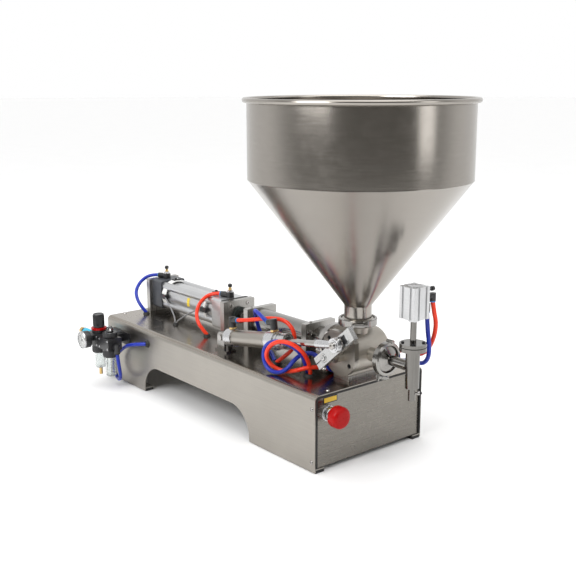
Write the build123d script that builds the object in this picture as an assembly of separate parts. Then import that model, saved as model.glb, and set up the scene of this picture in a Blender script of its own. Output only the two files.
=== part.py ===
from build123d import *
import math
import os

# Piston liquid filler: a pneumatic bench machine that draws a paste or liquid from a hopper
# and pushes a measured dose out through a shut-off nozzle.
# Frame: +X towards the nozzle, +Y away from the lever side, +Z up, origin on the bench under the
# centre of the sheet-metal base. Everything is in millimetres.

os.makedirs("parts", exist_ok=True)

# Base cabinet
BASE_LENGTH = 736
BASE_WIDTH = 274
BASE_TOP = 145
SHEET = 2
FOOT_HEIGHT = 6
SKIRT = 1.5
BEND_RADIUS = 10
ARCH_START = -210
ARCH_END = 176
ARCH_TOP = 65
ARCH_CORNER = 60
FLANGE_WIDTH = 22
PANEL_SETBACK = 2
PANEL_EDGE = 5.5
PANEL_RETURN = 20

# Emergency stop on the front panel
STOP_Y = -106
STOP_Z = 108
STOP_HEAD_RADIUS = 20

# Drive line: air cylinder and product cylinder on one axis
LINE_Z = 190
ROD_RADIUS = 10
RUNNING = 0.05
CAP_SIZE = 65
AIR_REAR = -335
AIR_REAR_CAP_END = -297
AIR_BARREL_END = -92
AIR_FRONT_CAP_END = -55
PLATE_FRONT_BACK = -48
PLATE_THICKNESS = 13
PLATE_HALF_WIDTH = 41
PLATE_TOP = 222.5
AIR_BORE = 25
TUBE_PLATE_X = 31
TUBE_PLATE_HALF_WIDTH = 38
TUBE_START = 44
TUBE_END = 290
TUBE_OUTER = 29
TUBE_BORE = 25
FRONT_TUBE_PLATE_X = 215
FRONT_TUBE_PLATE_TOP = 229
CLAMP_RING_X = 262
CLAMP_RING_RADIUS = 44.5
PISTON_FRONT = 228
PISTON_LENGTH = 30

# Rotary valve
VALVE_X = 330
VALVE_Z = 196
VALVE_RADIUS = 39
VALVE_NEAR = -36
VALVE_FAR = 50
ROTOR_RADIUS = 25
PORT_RADIUS = 12
COVER_NEAR = -46
SHAFT_RADIUS = 8
LEVER_NEAR = -84
LEVER_FAR = -74
LEVER_ANGLE = 41
LEVER_TAIL = 24.5
LEVER_TIP = 93
LEVER_WIDTH = 24
PIN_DISTANCE = 53
PIN_RADIUS = 4

# Mini cylinder that swings the lever
MINI_X = 39
MINI_Z = 174
MINI_Y = -93

# Hopper
HOPPER_RADIUS = 200
HOPPER_WALL = 1.5
NECK_RADIUS = 25.5
NECK_BOTTOM = 256
CONE_START = 282.5
CONE_END = 513
RIM_Z = 654
RIM_WIRE = 4.5

# Outlet and nozzle
OUTLET_CLAMP_X = 405
NOZZLE_X = 468
NOZZLE_BODY_RADIUS = 12.5
NOZZLE_BOTTOM = 158
TIP_RADIUS = 6.5
TIP_BOTTOM = 135
NOZZLE_FLANGE_Z = 240
NOZZLE_FLANGE_RADIUS = 24
CYLINDER_BOTTOM = 284
CYLINDER_TOP = 341
CYLINDER_SIZE = 38
PLUNGER_RADIUS = 3

# Air preparation unit on the near side
FRL_Y = -182
REGULATOR_X = -328
LUBRICATOR_X = -278
FRL_PORT_Z = 108

HOSE_RADIUS = 4
LEAD_RADIUS = 1.6

LOW = (Align.CENTER, Align.CENTER, Align.MIN)


def box(x0, x1, y0, y1, z0, z1):
    """Block between two corners."""
    block = Box(x1 - x0, y1 - y0, z1 - z0)
    return Pos((x0 + x1) / 2, (y0 + y1) / 2, (z0 + z1) / 2) * block


def bar(start, end, radius, end_radius=None):
    """Round bar, or a cone where end_radius is given, between two points."""
    run = Vector(*end) - Vector(*start)
    plane = Plane(origin=start, z_dir=run)
    if end_radius is None:
        return plane * Cylinder(radius, run.length, align=LOW)
    return plane * Cone(radius, end_radius, run.length, align=LOW)


def pipe(start, end, radius, bore):
    """Tube between two points."""
    return bar(start, end, radius) - bar(start, end, bore)


def hexagon(start, end, across_flats):
    """Hexagonal bar between two points."""
    run = Vector(*end) - Vector(*start)
    plane = Plane(origin=start, z_dir=run)
    face = plane * RegularPolygon(across_flats / 2, 6, major_radius=False)
    return extrude(face, run.length, dir=run.normalized())


def screw(seat, direction, head_radius, head_height, shank_radius, shank_length):
    """Cap screw whose head stands on its seat and whose shank goes the other way."""
    out = Vector(*direction).normalized()
    base = Vector(*seat)
    head = bar(base, base + out * head_height, head_radius)
    head -= hexagon(base + out * head_height * 0.5, base + out * (head_height + 1), head_radius)
    return head + bar(base - out * shank_length, base, shank_radius)


def along_x(x0, x1, radius, y=0, z=LINE_Z):
    """Round bar along X on the drive line, or beside it."""
    return bar((x0, y, z), (x1, y, z), radius)


def solids_of(shapes):
    """Every solid of a list of shapes."""
    found = []
    for shape in shapes:
        found.extend(shape.solids())
    return found


def save(name, *shapes):
    """Write one named sub-part as a STEP file."""
    solids = solids_of(shapes)
    whole = solids[0] if len(solids) == 1 else Compound(children=solids)
    whole.label = name
    export_step(whole, f"parts/{name}.step")


# ---------------------------------------------------------------- base cabinet

TOP_GROMMETS = [(-320, -61, 6), (-194, -61, 5), (-71, -61, 6), (174, -68, 10), (273, -68, 10)]
SIDE_GROMMET = (-191, -BASE_WIDTH / 2, 115)
SIDE_GROMMET_HOLE = 6
COLLAR_HEIGHT = 5
SIDE_SCREWS = [(x, z) for x in (-359, 359) for z in (19, 119)]
TOP_SCREWS = [(x, y) for x in (-357, 357) for y in (-97, 97)]


def base_shell():
    """Stainless sheet bent into a U, with arched sides and flanges under its four legs."""
    half_x = BASE_LENGTH / 2
    half_y = BASE_WIDTH / 2
    outer = box(-half_x, half_x, -half_y, half_y, SKIRT, BASE_TOP)
    top_edges = outer.edges().filter_by(Axis.X).group_by(Axis.Z)[-1]
    outer = fillet(top_edges, BEND_RADIUS)
    inner = box(-half_x - 1, half_x + 1, -half_y + SHEET, half_y - SHEET, 0, BASE_TOP - SHEET)
    top_edges = inner.edges().filter_by(Axis.X).group_by(Axis.Z)[-1]
    inner = fillet(top_edges, BEND_RADIUS - SHEET)
    shell = outer - inner
    arch = box(ARCH_START, ARCH_END, -half_y - 1, half_y + 1, 0, ARCH_TOP)
    arch_edges = arch.edges().filter_by(Axis.Y).group_by(Axis.Z)[-1]
    shell -= fillet(arch_edges, ARCH_CORNER - 2)
    for side in (-1, 1):
        for x0, x1 in ((-half_x, ARCH_START), (ARCH_END, half_x)):
            edge = side * (half_y - SHEET)
            lip = side * (half_y - FLANGE_WIDTH)
            shell += box(x0, x1, min(edge, lip), max(edge, lip), FOOT_HEIGHT, FOOT_HEIGHT + SHEET)
    for x, y, hole in TOP_GROMMETS:
        shell -= bar((x, y, BASE_TOP - 5), (x, y, BASE_TOP + 1), hole)
    x, y, z = SIDE_GROMMET
    shell -= bar((x, y - 1, z), (x, y + 5, z), SIDE_GROMMET_HOLE)
    for x, z in SIDE_SCREWS:
        for side in (-1, 1):
            shell -= bar((x, side * (half_y - 5), z), (x, side * (half_y + 1), z), 2.05)
    for x, y in TOP_SCREWS:
        shell -= bar((x, y, BASE_TOP - 5), (x, y, BASE_TOP + 1), 2.05)
    return shell


def end_panel(side):
    """Folded sheet that closes one end of the base; side is +1 at the front."""
    half_x = BASE_LENGTH / 2 - PANEL_SETBACK
    half_y = BASE_WIDTH / 2 - PANEL_EDGE
    top = BASE_TOP - PANEL_EDGE
    depth = PANEL_RETURN
    x_out = half_x
    outer = box(x_out - depth, x_out, -half_y, half_y, FOOT_HEIGHT + 3, top)
    outer = fillet(outer.edges().filter_by(Axis.X).group_by(Axis.Z)[-1], BEND_RADIUS - 3)
    inner = box(x_out - depth - 1, x_out - SHEET, -half_y + SHEET, half_y - SHEET, 0, top - SHEET)
    inner = fillet(inner.edges().filter_by(Axis.X).group_by(Axis.Z)[-1], BEND_RADIUS - 5)
    panel = outer - inner
    for z in (19, 119):
        for end in (-1, 1):
            panel -= bar((359, end * (half_y - 5), z), (359, end * (half_y + 1), z), 2.05)
    for y in (-97, 97):
        panel -= bar((357, y, top - 5), (357, y, top + 1), 2.05)
    return panel if side > 0 else Rot(0, 0, 180) * panel


def front_panel():
    """Front end panel with the hole for the emergency stop."""
    hole = bar((355, STOP_Y, STOP_Z), (369, STOP_Y, STOP_Z), 11.05)
    return end_panel(1) - hole


def rear_panel():
    """Rear end panel with two rows of cooling slots."""
    panel = end_panel(-1)
    for row in (60, 80, 100):
        for y in range(-75, 76, 25):
            panel -= box(-368, -362, y - 9, y + 9, row - 2.5, row + 2.5)
    return panel


def edge_trim():
    """Black rubber edging round the top and sides of the front panel."""
    x0 = BASE_LENGTH / 2 - 7
    x1 = BASE_LENGTH / 2 + 1.2
    half_out = BASE_WIDTH / 2 - SHEET - 0.05
    half_in = BASE_WIDTH / 2 - PANEL_EDGE + 0.05
    top_out = BASE_TOP - SHEET - 0.05
    top_in = BASE_TOP - PANEL_EDGE + 0.05
    outer = box(x0, x1, -half_out, half_out, FOOT_HEIGHT + 3, top_out)
    outer = fillet(outer.edges().filter_by(Axis.X).group_by(Axis.Z)[-1], BEND_RADIUS - SHEET)
    inner = box(x0 - 1, x1 + 1, -half_in, half_in, 0, top_in)
    inner = fillet(inner.edges().filter_by(Axis.X).group_by(Axis.Z)[-1], BEND_RADIUS - 3)
    trim = outer - inner
    for side in (-1, 1):
        for z in (19, 119):
            trim -= bar((359, side * (half_in - 5), z), (359, side * (half_out + 5), z), 2.05)
    return trim


def grommets():
    """Rubber grommets where the hoses and sensor leads go into the base."""
    rings = []
    for x, y, hole in TOP_GROMMETS:
        body = bar((x, y, BASE_TOP - SHEET - 2), (x, y, BASE_TOP), hole - 0.05)
        rings.append(body + bar((x, y, BASE_TOP), (x, y, BASE_TOP + COLLAR_HEIGHT), hole + 2, hole))
    x, y, z = SIDE_GROMMET
    body = bar((x, y, z), (x, y + SHEET + 2, z), SIDE_GROMMET_HOLE - 0.05)
    rings.append(body + bar((x, y, z), (x, y - COLLAR_HEIGHT, z), 8.5, 6.5))
    return rings


def feet():
    """Rubber strips under the four leg flanges."""
    strips = []
    half_x = BASE_LENGTH / 2
    for side in (-1, 1):
        for x0, x1 in ((-half_x, ARCH_START), (ARCH_END, half_x)):
            y_out = side * (BASE_WIDTH / 2 - SHEET - 0.3)
            y_in = side * (BASE_WIDTH / 2 - FLANGE_WIDTH)
            strips.append(box(x0, x1, min(y_in, y_out), max(y_in, y_out), 0, FOOT_HEIGHT))
    return strips


def panel_screws():
    """Screws that hold the end panels in the shell."""
    half_y = BASE_WIDTH / 2
    screws = []
    for x, z in SIDE_SCREWS:
        for side in (-1, 1):
            screws.append(screw((x, side * half_y, z), (0, side, 0), 4, 2.2, 2, 8))
    for x, y in TOP_SCREWS:
        screws.append(screw((x, y, BASE_TOP), (0, 0, 1), 4, 2.2, 2, 8))
    return screws


def warning_plate():
    """Small blank yellow plate on the front panel."""
    x = BASE_LENGTH / 2 - PANEL_SETBACK
    return box(x, x + 0.6, -116, -83, 126, 138)


# ------------------------------------------------------------- emergency stop

STOP_FACE = BASE_LENGTH / 2 - PANEL_SETBACK


def stop_housing():
    """Collar in front of the panel, threaded barrel through it, nut and switch block behind."""
    face = STOP_FACE
    collar = along_x(face, face + 3, 15, STOP_Y, STOP_Z) + along_x(face, face + 13, 12.5, STOP_Y, STOP_Z)
    barrel = along_x(face - 20, face, 11, STOP_Y, STOP_Z)
    block = box(face - 48, face - 20, STOP_Y - 15, STOP_Y + 15, STOP_Z - 15, STOP_Z + 15)
    housing = collar + barrel + block
    return housing - along_x(face - 15, face + 14, 7 + RUNNING, STOP_Y, STOP_Z)


def stop_stem():
    """Push stem that slides in the housing."""
    return along_x(STOP_FACE - 6, STOP_FACE + 24, 7, STOP_Y, STOP_Z)


def stop_head():
    """Red mushroom head that turns on the stem."""
    back = STOP_FACE + 20
    front = STOP_FACE + 42
    head = along_x(back, front, STOP_HEAD_RADIUS, STOP_Y, STOP_Z)
    head = fillet(head.edges().group_by(Axis.X)[-1], 6)
    head = fillet(head.edges().group_by(Axis.X)[0], 2)
    return head - along_x(back - 1, STOP_FACE + 24 + RUNNING, 7 + RUNNING, STOP_Y, STOP_Z)


# ------------------------------------------------------------------ drive line

def support_plate(x0, x1, half_width, top, bore):
    """Upright plate bolted to the table, bored for the drive line."""
    plate = box(x0, x1, -half_width, half_width, BASE_TOP, top)
    plate = fillet(plate.edges().filter_by(Axis.X).group_by(Axis.Z)[-1], 2)
    return plate - along_x(x0 - 1, x1 + 1, bore)


def support_plates():
    """The four plates that carry the air cylinder and the product cylinder."""
    front = PLATE_FRONT_BACK
    return [
        support_plate(AIR_REAR - PLATE_THICKNESS, AIR_REAR, PLATE_HALF_WIDTH, PLATE_TOP, 8),
        support_plate(front, front + PLATE_THICKNESS, PLATE_HALF_WIDTH, PLATE_TOP, 16),
        support_plate(TUBE_PLATE_X, TUBE_START, TUBE_PLATE_HALF_WIDTH, PLATE_TOP, ROD_RADIUS + RUNNING),
        support_plate(FRONT_TUBE_PLATE_X, FRONT_TUBE_PLATE_X + PLATE_THICKNESS, TUBE_PLATE_HALF_WIDTH,
                      FRONT_TUBE_PLATE_TOP, TUBE_OUTER + RUNNING),
    ]


def cap_block(x0, x1):
    """Square cylinder cap with rounded long edges."""
    half = CAP_SIZE / 2
    block = box(x0, x1, -half, half, LINE_Z - half, LINE_Z + half)
    return fillet(block.edges().filter_by(Axis.X), 5)


ELBOW_REAR_X = -322
ELBOW_FRONT_X = -68
ELBOW_SEAT = LINE_Z + CAP_SIZE / 2
CAPS_PORT_DEPTH = 12


def port_hole(x):
    """Threaded port in the top of a cap."""
    return bar((x, 0, ELBOW_SEAT - CAPS_PORT_DEPTH), (x, 0, ELBOW_SEAT + 1), 5)


def air_rear_cap():
    """Black rear cap, screwed to the rear plate."""
    return cap_block(AIR_REAR, AIR_REAR_CAP_END) - port_hole(ELBOW_REAR_X)


def air_front_cap():
    """Front cap, bored for the rod."""
    cap = cap_block(AIR_BARREL_END, AIR_FRONT_CAP_END) - port_hole(ELBOW_FRONT_X)
    return cap - along_x(AIR_BARREL_END - 1, AIR_FRONT_CAP_END + 1, ROD_RADIUS + RUNNING)


def air_barrel():
    """Drawn aluminium barrel with four corner lobes that hold the tie rods."""
    plane = Plane.YZ.offset(AIR_REAR_CAP_END)
    profile = Circle(AIR_BORE + 3.2)
    for sy in (-1, 1):
        for sz in (-1, 1):
            profile += Pos(sy * 21, sz * 21) * Circle(9)
    profile -= Circle(AIR_BORE)
    placed = plane * (Pos(0, LINE_Z) * profile)
    return extrude(placed, AIR_BARREL_END - AIR_REAR_CAP_END)


def gaskets():
    """Flat gasket behind the front plate, clamp gaskets and the gland round the rod."""
    half = CAP_SIZE / 2 + 0.5
    flat = box(AIR_FRONT_CAP_END, PLATE_FRONT_BACK, -half, half, LINE_Z - half, LINE_Z + half)
    flat -= along_x(AIR_FRONT_CAP_END - 1, PLATE_FRONT_BACK + 1, 14)
    front = PLATE_FRONT_BACK + PLATE_THICKNESS
    gland = along_x(PLATE_FRONT_BACK + 1, front, 15.9) + along_x(front, front + 7, 18)
    gland -= along_x(PLATE_FRONT_BACK, front + 8, ROD_RADIUS + RUNNING)
    hopper_ring = pipe((VALVE_X, 0, 252), (VALVE_X, 0, 254), 30, 24.5)
    outlet_ring = pipe((OUTLET_CLAMP_X - 1, 0, VALVE_Z), (OUTLET_CLAMP_X + 1, 0, VALVE_Z), 25, 11)
    nozzle_ring = pipe((NOZZLE_X, 0, 233), (NOZZLE_X, 0, 234.5), NOZZLE_FLANGE_RADIUS - 0.5, 10.5)
    return [flat, gland, hopper_ring, outlet_ring, nozzle_ring]


def pistons():
    """Air piston and product piston, at the two ends of the rod."""
    air = along_x(-114, -94, AIR_BORE - 0.3)
    product = along_x(PISTON_FRONT - PISTON_LENGTH, PISTON_FRONT, TUBE_BORE - 0.3)
    for x in (PISTON_FRONT - 24, PISTON_FRONT - 10):
        product -= pipe((x, 0, LINE_Z), (x + 4, 0, LINE_Z), TUBE_BORE, TUBE_BORE - 3.2)
    air -= pipe((-106, 0, LINE_Z), (-102, 0, LINE_Z), AIR_BORE, AIR_BORE - 3.2)
    air -= along_x(-120, -90, ROD_RADIUS - 2)
    product -= along_x(190, PISTON_FRONT - 8, ROD_RADIUS - 2)
    return [air, product]


def piston_seals():
    """Seal rings in the piston grooves."""
    rings = []
    for x in (-106, PISTON_FRONT - 24, PISTON_FRONT - 10):
        rings.append(pipe((x + 0.2, 0, LINE_Z), (x + 3.8, 0, LINE_Z), TUBE_BORE - 0.06, TUBE_BORE - 3.15))
    return rings


def main_rod():
    """Rod from the air piston, through both plates, to the product piston."""
    rod = along_x(-94, PISTON_FRONT - PISTON_LENGTH, ROD_RADIUS)
    rod += along_x(-114, -94, ROD_RADIUS - 2.05)
    rod += along_x(PISTON_FRONT - PISTON_LENGTH, PISTON_FRONT - 8.05, ROD_RADIUS - 2.05)
    return rod


def product_cylinder():
    """Polished stainless tube that holds one dose."""
    return pipe((TUBE_START, 0, LINE_Z), (TUBE_END, 0, LINE_Z), TUBE_OUTER, TUBE_BORE)


def cylinder_clamp():
    """Heavy clamp ring that joins the product cylinder to the valve, with its two ferrules."""
    ring = pipe((CLAMP_RING_X, 0, LINE_Z), (CLAMP_RING_X + 16, 0, LINE_Z), CLAMP_RING_RADIUS, 34)
    inner = pipe((CLAMP_RING_X + 3, 0, LINE_Z), (CLAMP_RING_X + 13, 0, LINE_Z), 34, TUBE_OUTER + RUNNING)
    ring = chamfer(ring.edges().filter_by(GeomType.CIRCLE).group_by(SortBy.RADIUS)[-1], 2.5)
    return ring + inner


def plate_bolts():
    """Screws in the faces and tops of the support plates."""
    front = PLATE_FRONT_BACK + PLATE_THICKNESS
    face = FRONT_TUBE_PLATE_X + PLATE_THICKNESS
    bolts = []
    for y in (-22, 22):
        for z in (LINE_Z - 23, LINE_Z + 23):
            bolts.append(bar((front, y, z), (front + 1.5, y, z), 4.5))
    for y in (-30, 30):
        for z in (165, 212):
            bolts.append(hexagon((face, y, z), (face + 5, y, z), 9))
    bolts.append(bar((37, -22, PLATE_TOP), (37, -22, PLATE_TOP + 2), 3))
    bolts.append(bar((221, -20, FRONT_TUBE_PLATE_TOP), (221, -20, FRONT_TUBE_PLATE_TOP + 2), 3))
    return bolts


def turned(point, centre, degrees):
    """Turn a point about the vertical line through centre."""
    angle = math.radians(degrees)
    dx = point[0] - centre[0]
    dy = point[1] - centre[1]
    return (
        centre[0] + dx * math.cos(angle) - dy * math.sin(angle),
        centre[1] + dx * math.sin(angle) + dy * math.cos(angle),
        point[2],
    )


ELBOW_TURN = 205
ELBOW_REACH = 22


def speed_elbow(x):
    """Push-in elbow with a needle valve: threaded stem, black body, barrel and knob seat."""
    z = ELBOW_SEAT
    body = bar((x, 0, z - CAPS_PORT_DEPTH + 1), (x, 0, z), 4.95) + bar((x, 0, z), (x, 0, z + 12), 8.5)
    end = turned((x + ELBOW_REACH, 0, z + 6), (x, 0), ELBOW_TURN)
    body += bar((x, 0, z + 6), end, 6)
    body += hexagon((x, 0, z + 12), (x, 0, z + 16), 11)
    body -= bar((x, 0, z + 8), (x, 0, z + 17), 2.5 + RUNNING)
    return body


def flow_knob(x):
    """Knurled knob on the needle of a speed control elbow."""
    z = ELBOW_SEAT
    return bar((x, 0, z + 9), (x, 0, z + 21), 2.5) + bar((x, 0, z + 17), (x, 0, z + 22.5), 3.6) \
        + bar((x, 0, z + 22.5), (x, 0, z + 30), 4.6)


def reed_sensors():
    """Two position sensors, each in a strap round the barrel."""
    parts = []
    top = LINE_Z + 30
    for x in (-285, -121):
        parts.append(box(x - 6, x + 6, -6, 8, top + 0.4, top + 6))
        parts.append(bar((x, 1, top + 6), (x, 1, top + 9), 3))
        side = box(x - 11, x + 11, -37, -30.6, LINE_Z - 5, LINE_Z + 5)
        parts.append(side)
    return parts


# ---------------------------------------------------------------- rotary valve

def valve_foot():
    """Plate under the valve, bolted to the table."""
    plate = box(VALVE_X - 26, VALVE_X + 16, -36, 51, BASE_TOP, BASE_TOP + 9)
    return fillet(plate.edges().filter_by(Axis.Z), 2)


def valve_body():
    """Cast housing along Y, with ports to the hopper, the product cylinder and the outlet."""
    y0 = VALVE_NEAR
    y1 = VALVE_FAR
    barrel = bar((VALVE_X, y0, VALVE_Z), (VALVE_X, y1, VALVE_Z), VALVE_RADIUS)
    barrel = fillet(barrel.edges().group_by(Axis.Y)[-1], 9)
    base = box(VALVE_X - 18, VALVE_X + 14, y0, y1 - 8, BASE_TOP + 9, VALVE_Z - 20)
    neck = bar((VALVE_X, 0, VALVE_Z), (VALVE_X, 0, 244), 20)
    ferrule = bar((VALVE_X, 0, 244), (VALVE_X, 0, 249), 20, 31) + bar((VALVE_X, 0, 249), (VALVE_X, 0, 252), 31)
    outlet = bar((VALVE_X, 0, VALVE_Z), (VALVE_X + 58, 0, VALVE_Z), 13)
    outlet += bar((VALVE_X + 58, 0, VALVE_Z), (VALVE_X + 66, 0, VALVE_Z), 16)
    outlet += bar((VALVE_X + 66, 0, VALVE_Z), (OUTLET_CLAMP_X - 3, 0, VALVE_Z), 14, 25)
    outlet += bar((OUTLET_CLAMP_X - 3, 0, VALVE_Z), (OUTLET_CLAMP_X - 1, 0, VALVE_Z), 25)
    housing = barrel + base + neck + ferrule + outlet
    housing -= along_x(VALVE_X - 60, TUBE_END, TUBE_OUTER + RUNNING)
    housing -= bar((VALVE_X, y0 - 1, VALVE_Z), (VALVE_X, y1 - 10, VALVE_Z), ROTOR_RADIUS + RUNNING)
    housing -= bar((VALVE_X, 0, VALVE_Z), (VALVE_X, 0, 253), 18)
    housing -= bar((VALVE_X, 0, VALVE_Z), (OUTLET_CLAMP_X, 0, VALVE_Z), 10)
    housing -= along_x(VALVE_X - 45, VALVE_X - 20, 16)
    return housing


def shield_outline():
    """Cover outline: round below, straight sides, chamfered top corners."""
    half = 41
    side = 28
    with BuildSketch(Plane.XZ) as sketch:
        with BuildLine():
            Polyline((-half, 0), (-half, side), (-22, 42), (22, 42), (half, side), (half, 0))
            ThreePointArc((half, 0), (0, -half), (-half, 0))
        make_face()
    return sketch.sketch


COVER_SCREW_SPOTS = [(27, -17), (-27, -17), (27, 25), (-27, 25)]


def valve_cover():
    """Near end cover that holds the rotor in, with the bearing boss for its shaft."""
    thickness = VALVE_NEAR - COVER_NEAR
    cover = Pos(VALVE_X, VALVE_NEAR, VALVE_Z) * extrude(shield_outline(), thickness)
    boss = bar((VALVE_X, COVER_NEAR - 14, VALVE_Z), (VALVE_X, COVER_NEAR, VALVE_Z), 14)
    cover += boss
    cover -= bar((VALVE_X, -80, VALVE_Z), (VALVE_X, 0, VALVE_Z), SHAFT_RADIUS + RUNNING)
    for dx, dz in COVER_SCREW_SPOTS:
        x = VALVE_X + dx
        z = VALVE_Z + dz
        cover -= bar((x, COVER_NEAR - 1, z), (x, COVER_NEAR + 6, z), 4.55)
    return cover


def cover_screws():
    """Socket screws sunk in the cover."""
    screws = []
    for dx, dz in COVER_SCREW_SPOTS:
        seat = (VALVE_X + dx, COVER_NEAR + 6, VALVE_Z + dz)
        head = bar((seat[0], seat[1] - 4.5, seat[2]), seat, 4.5)
        head -= hexagon((seat[0], seat[1] - 5, seat[2]), (seat[0], seat[1] - 2, seat[2]), 4)
        screws.append(head)
    return screws


def foot_bolts():
    """Bolts that hold the valve foot to the table."""
    top = BASE_TOP + 9
    spots = [(VALVE_X - 22.5, -31.5), (VALVE_X - 22.5, 46), (VALVE_X + 11, 46)]
    return [bar((x, y, top), (x, y, top + 3), 3) for x, y in spots]


def valve_rotor():
    """Half-moon rotor and its shaft; the open half joins two of the three ports."""
    near = VALVE_NEAR + 0.5
    far = VALVE_FAR - 10.5
    rotor = bar((VALVE_X, near, VALVE_Z), (VALVE_X, far, VALVE_Z), ROTOR_RADIUS)
    gap = box(VALVE_X - 30, VALVE_X + 30, near + 12, far - 12, VALVE_Z - 30, VALVE_Z - 2)
    rotor -= gap
    return rotor + bar((VALVE_X, LEVER_NEAR + 1, VALVE_Z), (VALVE_X, near, VALVE_Z), SHAFT_RADIUS)


def lever_point(along, across, y):
    """Point on the lever, from the valve shaft."""
    angle = math.radians(LEVER_ANGLE)
    x = VALVE_X + along * math.cos(angle) - across * math.sin(angle)
    z = VALVE_Z + along * math.sin(angle) + across * math.cos(angle)
    return (x, y, z)


def lever_block(start, end, width, y0, y1):
    """Block that lies along the lever."""
    block = box(start, end, y0, y1, -width / 2, width / 2)
    return Pos(VALVE_X, 0, VALVE_Z) * (Rot(0, -LEVER_ANGLE, 0) * block)


def lever():
    """Flat bar clamped on the valve shaft by a split end, with a window for the rod end bolt."""
    arm = lever_block(-LEVER_TAIL, LEVER_TIP, LEVER_WIDTH, LEVER_NEAR, LEVER_FAR)
    arm -= lever_block(31, 76, 15, LEVER_NEAR - 1, LEVER_FAR + 1)
    arm -= lever_block(-LEVER_TAIL - 1, 0, 2, LEVER_NEAR - 1, LEVER_FAR + 1)
    bore = bar((VALVE_X, LEVER_NEAR - 1, VALVE_Z), (VALVE_X, LEVER_FAR + 1, VALVE_Z), SHAFT_RADIUS)
    mid = (LEVER_NEAR + LEVER_FAR) / 2
    return arm - bore - bar(lever_point(-17, -13, mid), lever_point(-17, 13, mid), 2.55)


def lever_screw():
    """Clamp screw across the split end of the lever, with a domed head below."""
    mid = (LEVER_NEAR + LEVER_FAR) / 2
    seat = Vector(*lever_point(-17, -LEVER_WIDTH / 2, mid))
    end = Vector(*lever_point(-17, LEVER_WIDTH / 2, mid))
    out = (seat - end).normalized()
    head = bar(seat, seat + out * 3, 4.5) + bar(seat + out * 3, seat + out * 5, 4.5, 2.5)
    return head + bar(seat, end, 2.5)


# --------------------------------------------------------------- mini cylinder

PIN_POINT = lever_point(PIN_DISTANCE, 0, MINI_Y)
MINI_RUN = (PIN_POINT[0] - MINI_X, PIN_POINT[2] - MINI_Z)
MINI_REACH = math.hypot(*MINI_RUN)
MINI_ANGLE = math.degrees(math.atan2(MINI_RUN[1], MINI_RUN[0]))


def mini_point(along, up=0, side=0):
    """Point along the mini cylinder's axis from its rear pivot."""
    angle = math.radians(MINI_ANGLE)
    x = MINI_X + along * math.cos(angle) - up * math.sin(angle)
    z = MINI_Z + along * math.sin(angle) + up * math.cos(angle)
    return (x, MINI_Y + side, z)


def mini_bar(start, end, radius, end_radius=None):
    """Round bar along the mini cylinder's axis."""
    return bar(mini_point(start), mini_point(end), radius, end_radius)


def clevis_bracket():
    """Bracket with two ears that carries the rear of the mini cylinder."""
    foot = box(MINI_X - 18, MINI_X + 22, MINI_Y - 12, MINI_Y + 12, BASE_TOP, BASE_TOP + 4)
    ears = foot
    for side in (-1, 1):
        y0 = MINI_Y + side * 5.3
        y1 = MINI_Y + side * 10
        ear = box(MINI_X - 12, MINI_X + 12, min(y0, y1), max(y0, y1), BASE_TOP + 3, MINI_Z)
        ear += bar((MINI_X, y0, MINI_Z), (MINI_X, y1, MINI_Z), 12)
        ears += ear
    return ears - bar((MINI_X, MINI_Y - 20, MINI_Z), (MINI_X, MINI_Y + 20, MINI_Z), PIN_RADIUS + RUNNING)


def clevis_pin():
    """Pin through the bracket and the tang."""
    pin = bar((MINI_X, MINI_Y - 13, MINI_Z), (MINI_X, MINI_Y + 12, MINI_Z), PIN_RADIUS)
    return pin + bar((MINI_X, MINI_Y - 13, MINI_Z), (MINI_X, MINI_Y - 10.2, MINI_Z), 6)


def mini_barrel():
    """Stainless barrel of the mini cylinder."""
    return mini_bar(41, 150, 16) - mini_bar(41, 150, 14)


def mini_caps():
    """Rear cap with its tang, and front cap with its nose."""
    tang = bar(mini_point(0, 0, -5), mini_point(0, 0, 5), 11)
    angled = Pos(MINI_X, MINI_Y, MINI_Z) * (Rot(0, -MINI_ANGLE, 0) * box(0, 22, -5, 5, -11, 11))
    rear = tang + angled + mini_bar(18, 41, 18) - bar(mini_point(0, 0, -6), mini_point(0, 0, 6), PIN_RADIUS + RUNNING)
    rear -= bar(mini_point(34, 8), mini_point(34, 19), 5)
    front = mini_bar(150, 176, 18) + mini_bar(176, 184, 16) + mini_bar(184, 206, 15)
    front -= bar(mini_point(168, 8), mini_point(168, 19), 5)
    front -= mini_bar(149, 210, 6 + RUNNING)
    return [rear, front]


MINI_PORTS = [(34, 1), (168, -1)]


def mini_elbows():
    """Push-in elbows on the two caps, facing each other."""
    elbows = []
    for along, way in MINI_PORTS:
        body = bar(mini_point(along, 9), mini_point(along, 18), 4.95)
        body += bar(mini_point(along, 18), mini_point(along, 21), 6.5)
        body += bar(mini_point(along, 21), mini_point(along, 42), 7)
        body += bar(mini_point(along, 35), mini_point(along + way * 17, 35), 6)
        elbows.append(body)
    return elbows


def mini_rod():
    """Piston and rod of the mini cylinder, threaded into the rod end."""
    piston = mini_bar(132, 146, 13.95)
    return piston + mini_bar(132, 300, 6)


def rod_end():
    """Rod end: shank, lock nut and eye round the lever bolt."""
    shank = mini_bar(288, 300, 7.5) + mini_bar(300, MINI_REACH - 8, 7.5, 6.5)
    eye = bar(mini_point(MINI_REACH, 0, -4.5), mini_point(MINI_REACH, 0, 4.5), 13)
    end = shank + eye - mini_bar(280, 300, 6 + RUNNING)
    return end - bar(mini_point(MINI_REACH, 0, -10), mini_point(MINI_REACH, 0, 10), PIN_RADIUS + RUNNING)


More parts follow.
